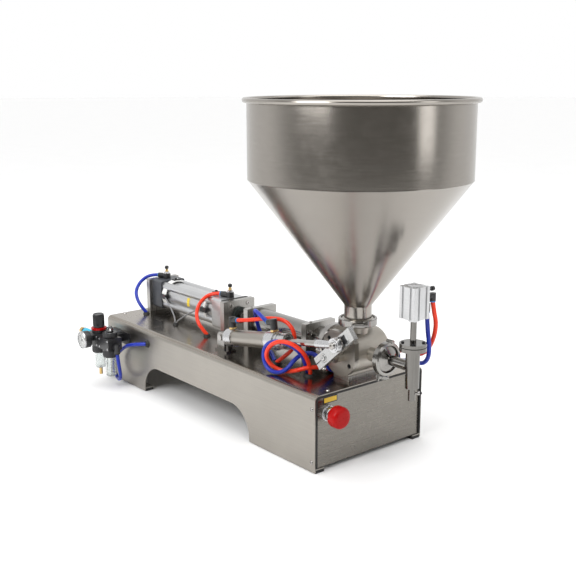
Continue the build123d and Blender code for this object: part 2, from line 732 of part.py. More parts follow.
def rod_end_bolt():
    """Bolt through the rod end and the lever's window, with a washer and nut behind."""
    x, _, z = PIN_POINT
    near = MINI_Y - 4.5
    bolt = bar((x, near - 0.3, z), (x, LEVER_FAR + 5, z), PIN_RADIUS)
    head = bar((x, near - 5.3, z), (x, near - 0.3, z), 7.5)
    head -= box(x - 5, x + 5, near - 6, near - 3.8, z - 1, z + 1)
    washer = bar((x, MINI_Y + 4.8, z), (x, LEVER_NEAR - 0.5, z), 6)
    nut = hexagon((x, LEVER_FAR + 0.5, z), (x, LEVER_FAR + 5, z), 13)
    return bolt + head + washer + nut


# --------------------------------------------------------------------- hopper

def hopper():
    """Open stainless hopper: straight neck, cone, cylinder and rolled rim."""
    wall = HOPPER_WALL
    slope = math.atan2(HOPPER_RADIUS - NECK_RADIUS, CONE_END - CONE_START)
    shift = wall * math.tan(slope / 2)
    outside = [
        (NECK_RADIUS, NECK_BOTTOM + 3),
        (NECK_RADIUS, CONE_START),
        (HOPPER_RADIUS, CONE_END),
        (HOPPER_RADIUS, RIM_Z - 3),
    ]
    inside = [
        (HOPPER_RADIUS - wall, RIM_Z - 3),
        (HOPPER_RADIUS - wall, CONE_END + shift),
        (NECK_RADIUS - wall, CONE_START + shift),
        (NECK_RADIUS - wall, NECK_BOTTOM - 2),
        (31, NECK_BOTTOM - 2),
        (31, NECK_BOTTOM),
        (NECK_RADIUS, NECK_BOTTOM + 3),
    ]
    with BuildPart() as shell:
        with BuildSketch(Plane.XZ):
            with BuildLine():
                Polyline(*outside, *inside)
            make_face()
        with BuildSketch(Plane.XZ):
            with Locations((HOPPER_RADIUS + RIM_WIRE - 1, RIM_Z - RIM_WIRE)):
                Circle(RIM_WIRE)
        revolve(axis=Axis.Z)
    return Pos(VALVE_X, 0, 0) * shell.part


def clamp(centre, axis, radius, width, flange, toward):
    """Pipe clamp: ring, lugs towards a direction, hinge pin, swing bolt and wing nut."""
    mid = Vector(*centre)
    out = Vector(*axis).normalized()
    start = mid - out * (width / 2)
    end = mid + out * (width / 2)
    ring = bar(start, end, radius) - bar(start, end, flange + 0.3)
    ring = chamfer(ring.edges().filter_by(GeomType.CIRCLE).group_by(SortBy.RADIUS)[-1], 1.2)
    way = Vector(*toward).normalized()
    cross = way.cross(out)
    lug_at = mid + way * (radius + 3)
    lugs = bar(lug_at - cross * 9, lug_at + cross * 5, 5)
    bolt = bar(lug_at - cross * 16, lug_at + cross * 12, 2.6)
    hinge_at = mid - way * (radius + 1)
    hinge = bar(hinge_at - out * width * 0.6, hinge_at + out * width * 0.6, 3.5)
    nut = bar(lug_at + cross * 5.2, lug_at + cross * 12, 4.6)
    wing = bar(lug_at + cross * 10 - way * 8, lug_at + cross * 10 + way * 8, 2.6)
    return ring + lugs + hinge + bolt + nut + wing


def pipe_clamps():
    """Clamps at the hopper neck and at the outlet."""
    hopper_clamp = clamp((VALVE_X, 0, 252), (0, 0, 1), 36, 13, 31, (0.75, -0.66, 0))
    outlet_clamp = clamp((OUTLET_CLAMP_X, 0, VALVE_Z), (1, 0, 0), 31, 12, 25, (0, -0.3, -1))
    return [hopper_clamp, outlet_clamp]


# ---------------------------------------------------------- outlet and nozzle

def outlet_pipe():
    """Ferrule and pipe from the outlet clamp to the nozzle."""
    x0 = OUTLET_CLAMP_X + 1
    outer = along_x(x0, x0 + 2, 25, 0, VALVE_Z)
    outer += bar((x0 + 2, 0, VALVE_Z), (x0 + 11, 0, VALVE_Z), 25, 9.5)
    outer += along_x(x0 + 2, NOZZLE_X - 10.2, 9.5, 0, VALVE_Z)
    return outer - along_x(x0 - 1, NOZZLE_X, 8, 0, VALVE_Z)


def nozzle_body():
    """Upright nozzle: flanged tube, narrow tip and the side screw of the tip."""
    body = bar((NOZZLE_X, 0, NOZZLE_BOTTOM), (NOZZLE_X, 0, 228), NOZZLE_BODY_RADIUS)
    flange = bar((NOZZLE_X, 0, 226), (NOZZLE_X, 0, 233), NOZZLE_FLANGE_RADIUS)
    tip = bar((NOZZLE_X, 0, TIP_BOTTOM), (NOZZLE_X, 0, NOZZLE_BOTTOM), TIP_RADIUS)
    bore = bar((NOZZLE_X, 0, NOZZLE_BOTTOM + 3), (NOZZLE_X, 0, 234), 10)
    mouth = bar((NOZZLE_X, 0, TIP_BOTTOM - 1), (NOZZLE_X, 0, NOZZLE_BOTTOM + 4), 4.5)
    body += tip + flange
    side = along_x(NOZZLE_X - 16, NOZZLE_X, 9.55, 0, VALVE_Z)
    return body - bore - mouth - side


def nozzle_stem():
    """Cap flange and the hollow stem that carries the nozzle cylinder."""
    cap = bar((NOZZLE_X, 0, 234.5), (NOZZLE_X, 0, NOZZLE_FLANGE_Z), NOZZLE_FLANGE_RADIUS)
    stem = bar((NOZZLE_X, 0, NOZZLE_FLANGE_Z), (NOZZLE_X, 0, CYLINDER_BOTTOM), 5.5)
    whole = cap + stem
    return whole - bar((NOZZLE_X, 0, 230), (NOZZLE_X, 0, 290), PLUNGER_RADIUS + RUNNING)


def flange_screws():
    """Screws in the nozzle's cap flange."""
    heads = []
    for k in range(4):
        angle = math.radians(45 + 90 * k)
        x = NOZZLE_X + 18 * math.cos(angle)
        y = 18 * math.sin(angle)
        heads.append(bar((x, y, NOZZLE_FLANGE_Z), (x, y, NOZZLE_FLANGE_Z + 2.2), 2.8))
    return heads


def nozzle_cylinder():
    """Compact air cylinder that lifts the plunger, with slots down its sides."""
    half = CYLINDER_SIZE / 2
    block = box(NOZZLE_X - half, NOZZLE_X + half, -half, half, CYLINDER_BOTTOM, CYLINDER_TOP)
    block = chamfer(block.edges().filter_by(Axis.Z), 1.5)
    for side in (-1, 1):
        for shift in (-9, 9):
            block -= box(NOZZLE_X + shift - 2.2, NOZZLE_X + shift + 2.2, side * half - 2.5, side * half + 2.5,
                         CYLINDER_BOTTOM - 1, CYLINDER_TOP + 1)
            block -= box(NOZZLE_X + side * half - 2.5, NOZZLE_X + side * half + 2.5, shift - 2.2, shift + 2.2,
                         CYLINDER_BOTTOM - 1, CYLINDER_TOP + 1)
    block -= bar((NOZZLE_X, 0, 292), (NOZZLE_X, 0, 334), 12.5)
    block -= bar((NOZZLE_X, 0, 280), (NOZZLE_X, 0, 300), PLUNGER_RADIUS + RUNNING)
    return block


def nozzle_plunger():
    """Air piston, thin rod and stopper that opens and shuts the nozzle from inside."""
    rod = bar((NOZZLE_X, 0, 166), (NOZZLE_X, 0, 300), PLUNGER_RADIUS)
    piston = bar((NOZZLE_X, 0, 294), (NOZZLE_X, 0, 304), 12.45)
    stopper = bar((NOZZLE_X, 0, 161.3), (NOZZLE_X, 0, 172), 6.2)
    return rod + piston + stopper


NOZZLE_PORTS = [(NOZZLE_X + 14, 322), (NOZZLE_X + 2, 301)]


def nozzle_elbows():
    """Small black elbows on the far face of the nozzle cylinder."""
    half = CYLINDER_SIZE / 2
    elbows = []
    for x, z in NOZZLE_PORTS:
        body = bar((x, half, z), (x, half + 12, z), 4.5)
        body += bar((x, half + 12, z + 4.5), (x, half + 12, z - 9), 5.5)
        elbows.append(body)
    x = NOZZLE_X + 12
    elbows.append(bar((x, half, 334), (x, half + 10, 334), 3) + bar((x, half + 10, 334), (x, half + 15, 334), 4.2))
    return elbows


# ------------------------------------------------------- air preparation unit

def frl_bodies():
    """Bodies of the regulator and of the lubricator, joined face to face."""
    z = FRL_PORT_Z
    split = (REGULATOR_X + LUBRICATOR_X) / 2
    regulator = box(REGULATOR_X - 22, split - 0.3, FRL_Y - 17, FRL_Y + 17, z - 15, z + 13)
    regulator += bar((REGULATOR_X, FRL_Y, z - 32), (REGULATOR_X, FRL_Y, z - 14), 17)
    regulator += bar((REGULATOR_X, FRL_Y, z + 12), (REGULATOR_X, FRL_Y, z + 21), 16)
    lubricator = box(split + 0.3, LUBRICATOR_X + 22, FRL_Y - 17, FRL_Y + 17, z - 15, z + 13)
    lubricator += bar((LUBRICATOR_X, FRL_Y, z - 32), (LUBRICATOR_X, FRL_Y, z - 14), 17)
    lubricator += bar((LUBRICATOR_X, FRL_Y, z + 12), (LUBRICATOR_X, FRL_Y, z + 24), 15)
    regulator -= bar((REGULATOR_X, FRL_Y, z - 33), (REGULATOR_X, FRL_Y, z - 24), 13.3)
    lubricator -= bar((LUBRICATOR_X, FRL_Y, z - 33), (LUBRICATOR_X, FRL_Y, z - 24), 13.3)
    regulator -= bar((REGULATOR_X, FRL_Y, z + 5), (REGULATOR_X, FRL_Y, z + 22), 5 + RUNNING)
    bracket = box(-340, -266, -BASE_WIDTH / 2 - 3, -BASE_WIDTH / 2, z - 14, z + 14)
    arm = box(-312, -294, FRL_Y + 17, -BASE_WIDTH / 2 - 3, z - 9, z + 9)
    return [regulator, lubricator, bracket + arm]


def frl_bowls():
    """Clear bowls of the filter and of the lubricator."""
    bowls = []
    for x, bottom in ((REGULATOR_X, 38), (LUBRICATOR_X, 30)):
        outer = bar((x, FRL_Y, bottom), (x, FRL_Y, 84), 13)
        outer = fillet(outer.edges().group_by(Axis.Z)[0], 6)
        bowls.append(outer - bar((x, FRL_Y, bottom + 3), (x, FRL_Y, 85), 11))
    return bowls


def frl_gauge():
    """Pressure gauge on the front of the regulator."""
    z = FRL_PORT_Z + 2
    front = -228
    case = bar((REGULATOR_X, front, z), (REGULATOR_X, front + 20, z), 20)
    case = fillet(case.edges().group_by(Axis.Y)[-1], 3)
    return case + bar((REGULATOR_X, front + 20, z), (REGULATOR_X, FRL_Y - 17, z), 6)


def regulator_knob():
    """Ribbed knob that sets the air pressure."""
    z = FRL_PORT_Z + 25.5
    knob = bar((REGULATOR_X, FRL_Y, z), (REGULATOR_X, FRL_Y, z + 31), 13)
    knob = fillet(knob.edges().group_by(Axis.Z)[-1], 2)
    for k in range(12):
        angle = math.radians(30 * k)
        x = REGULATOR_X + 13.4 * math.cos(angle)
        y = FRL_Y + 13.4 * math.sin(angle)
        knob -= bar((x, y, z + 4), (x, y, z + 29), 1.2)
    return knob + bar((REGULATOR_X, FRL_Y, FRL_PORT_Z + 8), (REGULATOR_X, FRL_Y, z), 5)


def frl_fittings():
    """Red lock ring, bowl drain, sight dome, inlet and outlet of the air unit."""
    z = FRL_PORT_Z
    ring = pipe((REGULATOR_X, FRL_Y, z + 21), (REGULATOR_X, FRL_Y, z + 25), 17.5, 5.4)
    drain = bar((REGULATOR_X, FRL_Y, 22), (REGULATOR_X, FRL_Y, 38), 4)
    dome = bar((LUBRICATOR_X, FRL_Y, z + 24), (LUBRICATOR_X, FRL_Y, z + 36), 8)
    dome = fillet(dome.edges().group_by(Axis.Z)[-1], 4)
    inlet = bar((REGULATOR_X - 22, FRL_Y, z), (REGULATOR_X - 84, FRL_Y, z), 6)
    inlet += bar((REGULATOR_X - 22, FRL_Y, z), (REGULATOR_X - 28, FRL_Y, z), 9)
    inlet += bar((REGULATOR_X - 74, FRL_Y, z), (REGULATOR_X - 84, FRL_Y, z), 7.5)
    inlet -= bar((REGULATOR_X - 72, FRL_Y, z), (REGULATOR_X - 85, FRL_Y, z), 4)
    outlet = bar((LUBRICATOR_X + 22, FRL_Y, z - 6), (LUBRICATOR_X + 30, FRL_Y, z - 6), 6.5)
    outlet += bar((LUBRICATOR_X + 30, FRL_Y, z + 1), (LUBRICATOR_X + 30, FRL_Y, z - 20), 6.5)
    return [ring, drain, dome, inlet, outlet]


def slide_sleeve():
    """Sleeve of the hand slide valve, which shuts the air off."""
    x = REGULATOR_X
    sleeve = pipe((x - 40, FRL_Y, FRL_PORT_Z), (x - 72, FRL_Y, FRL_PORT_Z), 9, 6 + RUNNING)
    return chamfer(sleeve.edges().filter_by(GeomType.CIRCLE).group_by(SortBy.RADIUS)[-1], 1)


# ------------------------------------------------------------- hoses and leads

HOSE_ROUTES = {
    "hose_air_rear": [
        (-342, -9, 228.5), (-365, -20, 227), (-371, -44, 213), (-361, -64, 194), (-342, -71, 176),
        (-326, -68, 160), (-320, -61, 149),
    ],
    "hose_air_front": [
        (-88, -9, 228.5), (-110, -20, 227), (-116, -44, 213), (-107, -63, 193), (-91, -71, 175),
        (-77, -68, 160), (-71, -61, 149),
    ],
    "hose_mini_rear": [
        (84, -93, 217.7), (112, -91, 223), (143, -86, 231), (175, -78, 238), (205, -71, 239), (226, -68, 226),
        (231, -67, 205), (222, -66, 184), (202, -67, 167), (178.5, -69, 149),
    ],
    "hose_mini_front": [
        (177, -93, 234.5), (154, -91, 243), (128, -83, 246), (109, -68, 234), (102, -58, 211), (109, -54, 187),
        (126, -54, 171), (147, -58, 160), (169.5, -67, 149),
    ],
    "hose_nozzle_top": [
        (277, -69, 149), (281, -74, 168), (285, -86, 188), (285, -100, 205), (274, -113, 217), (253, -122, 218),
        (232, -124, 208), (216, -123, 193), (209, -120, 176), (212, -111, 160), (225, -101.5, 151),
        (244, -95, 151.5), (262, -91, 157), (280, -78, 165), (287, -57, 163), (285, -31, 154), (285, -4, 150),
        (284, 26, 152), (289, 54, 156), (308, 75, 166), (336, 80, 178), (368, 76, 189), (400, 68, 193),
        (428, 60, 197), (448, 56, 208), (462, 54, 226), (473, 50, 248), (481, 43, 272), (483, 34, 294),
        (482, 31, 313),
    ],
    "hose_nozzle_bottom": [
        (268.5, -67.5, 149), (268, -73, 168), (272, -84, 186.5), (270, -97.5, 202), (255, -109, 212),
        (234, -114, 212), (212.5, -115, 205), (198, -115.5, 191), (195, -115.5, 173), (203, -116, 157),
        (219, -115, 149.5), (238, -110, 150.5), (251, -101, 161), (253, -88, 175.5), (258, -70, 186),
        (274, -57, 187), (294, -52, 172), (298, -33, 152), (296, -4, 150), (294, 24, 150), (296, 51, 154),
        (313, 69, 159), (343, 75, 165), (375, 72, 172), (406, 66, 178), (434, 56, 183), (456, 47, 192),
        (469, 41, 209), (473, 36, 232), (471, 32, 262), (470, 31, 292),
    ],
    "hose_supply": [
        (-248, -182, 86), (-247, -180, 62), (-252, -174, 39), (-268, -166, 20), (-290, -160, 14),
        (-310, -156, 26), (-315.5, -153, 48), (-304, -151, 69), (-281, -151, 86), (-254, -153, 100),
        (-226, -155, 109), (-204.5, -151.5, 114), (-192, -141, 115),
    ],
}

LEAD_ROUTES = {
    "sensor_lead_rear": [
        (-274, -36, 188), (-254, -42, 182), (-232, -48, 173), (-211, -54, 162), (-199, -59, 154), (-196.5, -61, 148.5),
    ],
    "sensor_lead_front": [
        (-132, -36, 188), (-150, -42, 182), (-167, -48, 172), (-181, -55, 161), (-189, -60, 154), (-191.5, -61, 148.5),
    ],
}


def smooth_path(points):
    """Straight runs joined by arcs as large as the runs allow."""
    vectors = [Vector(*p) for p in points]
    radii = []
    for before, here, after in zip(vectors, vectors[1:], vectors[2:]):
        turn = math.radians((here - before).get_angle(after - here))
        run = min((here - before).length, (after - here).length)
        radii.append(0.45 * run / math.tan(turn / 2))
    return FilletPolyline(*points, radius=radii), radii


def tube(name, points, radius):
    """Solid round cord along a route; prints its bend radii and its length."""
    path, radii = smooth_path(points)
    section = Plane(origin=path @ 0, z_dir=path % 0) * Circle(radius)
    solid = sweep(section, path=path)
    ratio = solid.volume / (math.pi * radius ** 2 * path.length)
    rounded = [round(r) for r in radii]
    print(f"{name}: length {path.length:.0f} mm, radii {rounded}, volume ratio {ratio:.3f}")
    return solid


def build():
    """Write every sub-part."""
    save("base_shell", base_shell())
    save("front_panel", front_panel())
    save("rear_panel", rear_panel())
    save("rubber_trim", edge_trim(), Rot(0, 0, 180) * edge_trim(), *grommets())
    save("feet", *feet())
    save("warning_plate", warning_plate())
    save("machine_screws", *panel_screws(), *plate_bolts(), *cover_screws(), *foot_bolts(), *flange_screws())
    save("estop_housing", stop_housing())
    save("estop_stem", stop_stem())
    save("estop_head", stop_head())
    save("support_plates", *support_plates())
    save("air_rear_cap", air_rear_cap())
    save("air_barrel", air_barrel())
    save("air_front_cap", air_front_cap())
    save("gaskets", *gaskets())
    save("pistons", *pistons())
    save("piston_seals", *piston_seals())
    save("main_rod", main_rod())
    save("air_fittings", speed_elbow(ELBOW_REAR_X), speed_elbow(ELBOW_FRONT_X), *nozzle_elbows())
    save("rear_flow_knob", flow_knob(ELBOW_REAR_X))
    save("front_flow_knob", flow_knob(ELBOW_FRONT_X))
    save("reed_sensors", *reed_sensors())
    save("product_cylinder", product_cylinder())
    save("cylinder_clamp", cylinder_clamp())
    save("valve_foot", valve_foot())
    save("valve_body", valve_body())
    save("valve_cover", valve_cover())
    save("valve_rotor", valve_rotor())
    save("lever", lever())
    save("lever_screw", lever_screw())
    save("clevis_bracket", clevis_bracket())
    save("clevis_pin", clevis_pin())
    save("mini_barrel", mini_barrel())
    save("mini_caps", *mini_caps())
    save("mini_elbows", *mini_elbows())
    save("mini_rod", mini_rod())
    save("rod_end", rod_end())
    save("rod_end_bolt", rod_end_bolt())
    save("hopper", hopper())
    save("pipe_clamps", *pipe_clamps())
    save("outlet_pipe", outlet_pipe())
    save("nozzle_body", nozzle_body())
    save("nozzle_stem", nozzle_stem())
    save("nozzle_cylinder", nozzle_cylinder())
    save("nozzle_plunger", nozzle_plunger())
    save("frl_bodies", *frl_bodies())
    save("frl_bowls", *frl_bowls())
    save("frl_gauge", frl_gauge())
    save("regulator_knob", regulator_knob())
    save("frl_fittings", *frl_fittings())
    save("slide_sleeve", slide_sleeve())
    for name, points in HOSE_ROUTES.items():
        save(name, tube(name, points, HOSE_RADIUS))
    for name, points in LEAD_ROUTES.items():
        save(name, tube(name, points, LEAD_RADIUS))


build()
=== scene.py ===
import math

import bmesh
import bpy
from mathutils import Matrix, Vector


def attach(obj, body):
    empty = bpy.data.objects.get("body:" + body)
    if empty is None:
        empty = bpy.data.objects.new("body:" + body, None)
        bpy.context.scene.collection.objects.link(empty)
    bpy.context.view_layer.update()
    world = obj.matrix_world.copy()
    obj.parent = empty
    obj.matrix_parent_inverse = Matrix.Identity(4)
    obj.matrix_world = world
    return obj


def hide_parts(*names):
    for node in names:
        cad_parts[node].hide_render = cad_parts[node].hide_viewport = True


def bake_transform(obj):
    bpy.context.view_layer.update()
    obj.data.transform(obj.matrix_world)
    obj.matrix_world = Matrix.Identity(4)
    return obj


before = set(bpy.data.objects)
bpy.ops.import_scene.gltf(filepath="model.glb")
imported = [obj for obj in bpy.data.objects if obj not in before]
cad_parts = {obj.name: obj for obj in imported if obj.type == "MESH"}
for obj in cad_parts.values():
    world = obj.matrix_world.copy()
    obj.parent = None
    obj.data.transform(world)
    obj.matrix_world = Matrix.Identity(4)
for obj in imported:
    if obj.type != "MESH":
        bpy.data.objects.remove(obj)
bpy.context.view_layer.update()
scene = bpy.context.scene
MM = 0.001


# ----------------------------------------------------------------------- camera

# Long lens a little above the hopper clamp, looking at the front end and the lever side.
# It stands two metres away, so the upright edges stay nearly parallel.
azimuth = math.radians(50.42)
elevation = math.radians(12.95)
roll = math.radians(-0.132)
standpoint = Vector((1.5114, -1.1429, 0.6899))
back = Vector((math.sin(azimuth) * math.cos(elevation), -math.cos(azimuth) * math.cos(elevation),
               math.sin(elevation)))
right = Vector((math.cos(azimuth), math.sin(azimuth), 0))
up = back.cross(right)
tilted_right = right * math.cos(roll) + up * math.sin(roll)
tilted_up = up * math.cos(roll) - right * math.sin(roll)
camera = bpy.data.objects.new("camera", bpy.data.cameras.new("camera"))
camera.data.lens = 57.64
camera.data.sensor_width = 36
camera.matrix_world = Matrix.Translation(standpoint) @ Matrix(
    (tilted_right, tilted_up, back)).transposed().to_4x4()
scene.collection.objects.link(camera)
scene.camera = camera
scene.view_settings.view_transform = "Standard"


# ----------------------------------------------------------------------- studio

# Plain studio: white behind the machine, dark behind the camera so that the steel has something
# to reflect, a wide overhead light, and three soft boxes.

class Socket:
    """Output of a node, with plain arithmetic."""

    def __init__(self, graph, out):
        self.graph = graph
        self.out = out

    def math(self, operation, *others):
        """Maths node on this value and the others."""
        inputs = dict(enumerate((self,) + others))
        return self.graph.node("ShaderNodeMath", {"operation": operation}, inputs)

    def __add__(self, other):
        return self.math("ADD", other)

    def __sub__(self, other):
        return self.math("SUBTRACT", other)

    def __mul__(self, other):
        return self.math("MULTIPLY", other)

    __radd__ = __add__
    __rmul__ = __mul__

    def step(self, low, high):
        """0 below low, 1 above high, smooth between them."""
        settings = {"interpolation_type": "SMOOTHSTEP"}
        return self.graph.node("ShaderNodeMapRange", settings, {0: self, 1: low, 2: high})

    def mix(self, low, high):
        """Colour that goes from low to high as this value goes from 0 to 1."""
        return self.graph.node("ShaderNodeMix", {"data_type": "RGBA"}, {0: self, 6: low, 7: high}, 2)


class Graph:
    """Node tree of a material, the world or a modifier."""

    def __init__(self, tree):
        self.tree = tree
        tree.nodes.clear()

    def node(self, kind, settings=None, inputs=None, output=0):
        """New node with its settings and inputs; gives one of its outputs."""
        made = self.tree.nodes.new(kind)
        for key, value in (settings or {}).items():
            setattr(made, key, value)
        for key, value in (inputs or {}).items():
            if isinstance(value, Socket):
                self.tree.links.new(value.out, made.inputs[key])
            else:
                made.inputs[key].default_value = value
        return Socket(self, made.outputs[output]) if len(made.outputs) else made

    def noise(self, stretch, detail=4, rough=0.55):
        """Noise over the row frame, with its own scale along each axis."""
        point = self.node("ShaderNodeTexCoord", output=3)
        place = self.node("ShaderNodeMapping", None, {0: point, 3: stretch})
        inputs = {"Vector": place, "Scale": 1.0, "Detail": detail, "Roughness": rough}
        return self.node("ShaderNodeTexNoise", None, inputs)

    def axis(self, index):
        """One object coordinate, in metres."""
        point = self.node("ShaderNodeTexCoord", output=3)
        return self.node("ShaderNodeSeparateXYZ", None, {0: point}, index)


def rgb(*colour):
    """Colour with full alpha, as node inputs want it."""
    return (*colour, 1.0)


world = bpy.data.worlds.new("studio")
world.use_nodes = True
scene.world = world
dark_wall = rgb(0.17, 0.165, 0.155)
white_wall = rgb(1.0, 1.0, 1.0)
grey_ceiling = rgb(0.55, 0.55, 0.55)
g = Graph(world.node_tree)
direction = g.node("ShaderNodeTexCoord", output=0)
far_side = g.node("ShaderNodeVectorMath", {"operation": "DOT_PRODUCT"},
                  {0: direction, 1: (-0.77, 0.64, 0.0)}, 1)
height = g.node("ShaderNodeSeparateXYZ", None, {0: direction}, 2)
walls = far_side.step(-0.55, 0.35).mix(dark_wall, white_wall)
sky = height.step(0.45, 0.9).mix(walls, grey_ceiling)
g.node("ShaderNodeOutputWorld", None, {0: g.node("ShaderNodeBackground", None, {0: sky, 1: 1.0})})

# Wide overhead light, and the three soft boxes: place, aim, width, depth and watts.
sun = bpy.data.objects.new("overhead", bpy.data.lights.new("overhead", "SUN"))
sun.data.energy = 1.7
sun.data.angle = math.radians(75)
sun.rotation_euler = (math.radians(12), math.radians(8), 0)
scene.collection.objects.link(sun)

for name, place, target, width, depth, power in (
    ("key", (0.3, -2.4, 1.9), (0.1, 0, 0.25), 1.5, 1.1, 44),
    ("side", (2.7, 0.9, 1.5), (0.2, 0, 0.3), 0.8, 1.6, 8),
    ("top", (-0.2, 0.5, 2.6), (0, 0, 0.2), 2.2, 2.2, 20),
):
    lamp = bpy.data.lights.new(name, "AREA")
    lamp.shape = "RECTANGLE"
    lamp.size = width
    lamp.size_y = depth
    lamp.energy = power
    light = bpy.data.objects.new(name, lamp)
    light.location = place
    light.rotation_euler = (Vector(target) - Vector(place)).to_track_quat("-Z", "Y").to_euler()
    scene.collection.objects.link(light)


# ------------------------------------------------------------------------ floor

# Matt white sheet under the machine. Its finish is the first to need the grain and smudges that
# every surface here has, and its mesh the first to need the turning and milling tools.

def surface(name, dark, light, rough, grain, bump=0.0, smudge=0.12, colour=None, **fixed):
    """Finish whose colour and gloss vary with a directional grain and with broad smudges."""
    material = bpy.data.materials.new(name)
    material.use_nodes = True
    g = Graph(material.node_tree)
    streak = g.noise(grain, 6, 0.62).step(0.28, 0.72)
    broad = g.noise((9, 9, 9), 5, 0.6).step(0.35, 0.75)
    touch = g.noise((55, 55, 70), 3, 0.5).step(0.45, 0.62) * broad
    tone = (streak * 0.65 + broad * 0.35).mix(rgb(*dark), rgb(*light))
    if colour:
        tone = colour(g, tone)
    gloss = streak * (rough[1] - rough[0]) + rough[0] + touch * smudge
    relief = g.node("ShaderNodeBump", None, {"Strength": 1.0, "Distance": bump * MM, "Height": streak})
    inputs = {"Base Color": tone, "Roughness": gloss}
    if bump:
        inputs["Normal"] = relief
    for key, value in fixed.items():
        inputs[key.replace("_", " ")] = value
    shader = g.node("ShaderNodeBsdfPrincipled", None, inputs)
    g.node("ShaderNodeOutputMaterial", None, {0: shader})
    return material


# Radius under which a point of a profile lies on the axis.
on_axis = 1e-6


def soften(profile, size):
    """Profile with each corner off the axis cut by a small round."""
    closed = profile[0] == profile[-1]
    points = profile[:-1] if closed else profile
    count = len(points)
    result = []
    for k, point in enumerate(points):
        here = Vector(point[:2])
        ends = not closed and k in (0, count - 1)
        if ends or len(point) > 2 or here.x < on_axis:
            result.append(point)
            continue
        back = Vector(points[k - 1][:2]) - here
        ahead = Vector(points[(k + 1) % count][:2]) - here
        cut = min(size, back.length * 0.4, ahead.length * 0.4)
        first = here + back.normalized() * cut
        last = here + ahead.normalized() * cut
        middle = first * 0.25 + here * 0.5 + last * 0.25
        result += [tuple(first), tuple(middle), tuple(last)]
    return result + [result[0]] if closed else result


class Shape:
    """Mesh being built from turned and milled parts, in millimetres of the row frame."""

    def __init__(self):
        self.bm = bmesh.new()

    def lathe(self, profile, at, axis=(0, 0, 1), steps=64, material=0, soft=0.35):
        """Turned part from (radius, height) pairs; a third value is knurl depth, or "hex" for flats."""
        turn = Vector(axis).to_track_quat("Z", "Y").to_matrix()
        points = soften(profile, soft) if soft else profile
        closed = points[0] == points[-1]
        rings = []
        for point in points[:-1] if closed else points:
            radius, height = point[0], point[1]
            form = point[2] if len(point) > 2 else 0
            ring = []
            for k in range(steps if radius > on_axis else 1):
                angle = 2 * math.pi * k / steps
                if form == "hex":
                    reach = radius / math.cos((angle + math.pi / 6) % (math.pi / 3) - math.pi / 6)
                else:
                    reach = radius - form * (k % 2)
                spot = Vector((reach * math.cos(angle), reach * math.sin(angle), height))
                ring.append(self.bm.verts.new((Vector(at) + turn @ spot) * MM))
            rings.append(ring)
        if closed:
            rings.append(rings[0])
        for low, high in zip(rings, rings[1:]):
            for k in range(steps):
                a, b = low[k % len(low)], low[(k + 1) % len(low)]
                c, d = high[(k + 1) % len(high)], high[k % len(high)]
                corners = list(dict.fromkeys((a, b, c, d)))
                if len(corners) > 2:
                    self.bm.faces.new(corners).material_index = material
        return self

    def block(self, low, high, bevel=0.6, material=0, turn=None, about=(0, 0, 0)):
        """Milled block between two corners with rounded edges, turned about a point."""
        made = bmesh.ops.create_cube(self.bm, size=1)["verts"]
        for vert in made:
            for k in range(3):
                vert.co[k] = high[k] if vert.co[k] > 0 else low[k]
        edges = list({edge for vert in made for edge in vert.link_edges})
        cut = bmesh.ops.bevel(self.bm, geom=edges, offset=bevel, segments=2, profile=0.5, affect="EDGES")
        verts = {vert for face in cut["faces"] for vert in face.verts} | {v for v in made if v.is_valid}
        for face in {face for vert in verts for face in vert.link_faces}:
            face.material_index = material
        for vert in verts:
            if turn:
                vert.co = turn @ (vert.co - Vector(about)) + Vector(about)
            vert.co *= MM
        return self

    def done(self, name, materials, slot, body="frame", smooth=32):
        """Turns the mesh into a piece on a body."""
        bmesh.ops.recalc_face_normals(self.bm, faces=self.bm.faces)
        mesh = bpy.data.meshes.new(name)
        self.bm.to_mesh(mesh)
        self.bm.free()
        mesh.shade_smooth()
        mesh.set_sharp_from_angle(angle=math.radians(smooth))
        for material in materials:
            mesh.materials.append(material)
        piece = bpy.data.objects.new(name, mesh)
        scene.collection.objects.link(piece)
        if body:
            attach(piece, body)
        return piece


floor_finish = surface("floor_finish", (0.88, 0.88, 0.88), (0.90, 0.90, 0.90), (0.70, 0.75), (4, 4, 4))

floor_radius = 30000
floor_level = -0.2
floor = Shape().lathe([(0, floor_level), (floor_radius, floor_level)], (0, 0, 0), soft=0)
floor = floor.done("floor", [floor_finish], None, None)


# -------------------------------------------------------------- hoses and leads

# Polyurethane air hoses of 8 mm and two thin sensor leads. Each leaves its fitting straight, hangs
# in a loose loop, and goes down through a rubber grommet into the base.

def route_curve(name, points, radius):
    """Smooth curve through a hose's control points."""
    curve = bpy.data.curves.new(name, "CURVE")
    curve.dimensions = "3D"
    spline = curve.splines.new("NURBS")
    spline.points.add(len(points) - 1)
    for point, place in zip(spline.points, points):
        point.co = (*place, 1)
    spline.order_u = 3
    spline.use_endpoint_u = True
    spline.resolution_u = 10
    curve.bevel_depth = radius
    curve.bevel_resolution = 6
    curve.use_fill_caps = True
    hose = bpy.data.objects.new(name, curve)
    scene.collection.objects.link(hose)
    return hose


def centre_line(hose):
    """Points along a curve's own line."""
    radius = hose.data.bevel_depth
    hose.data.bevel_depth = 0
    line = bpy.data.meshes.new_from_object(hose)
    hose.data.bevel_depth = radius
    return [vert.co.copy() for vert in line.vertices]


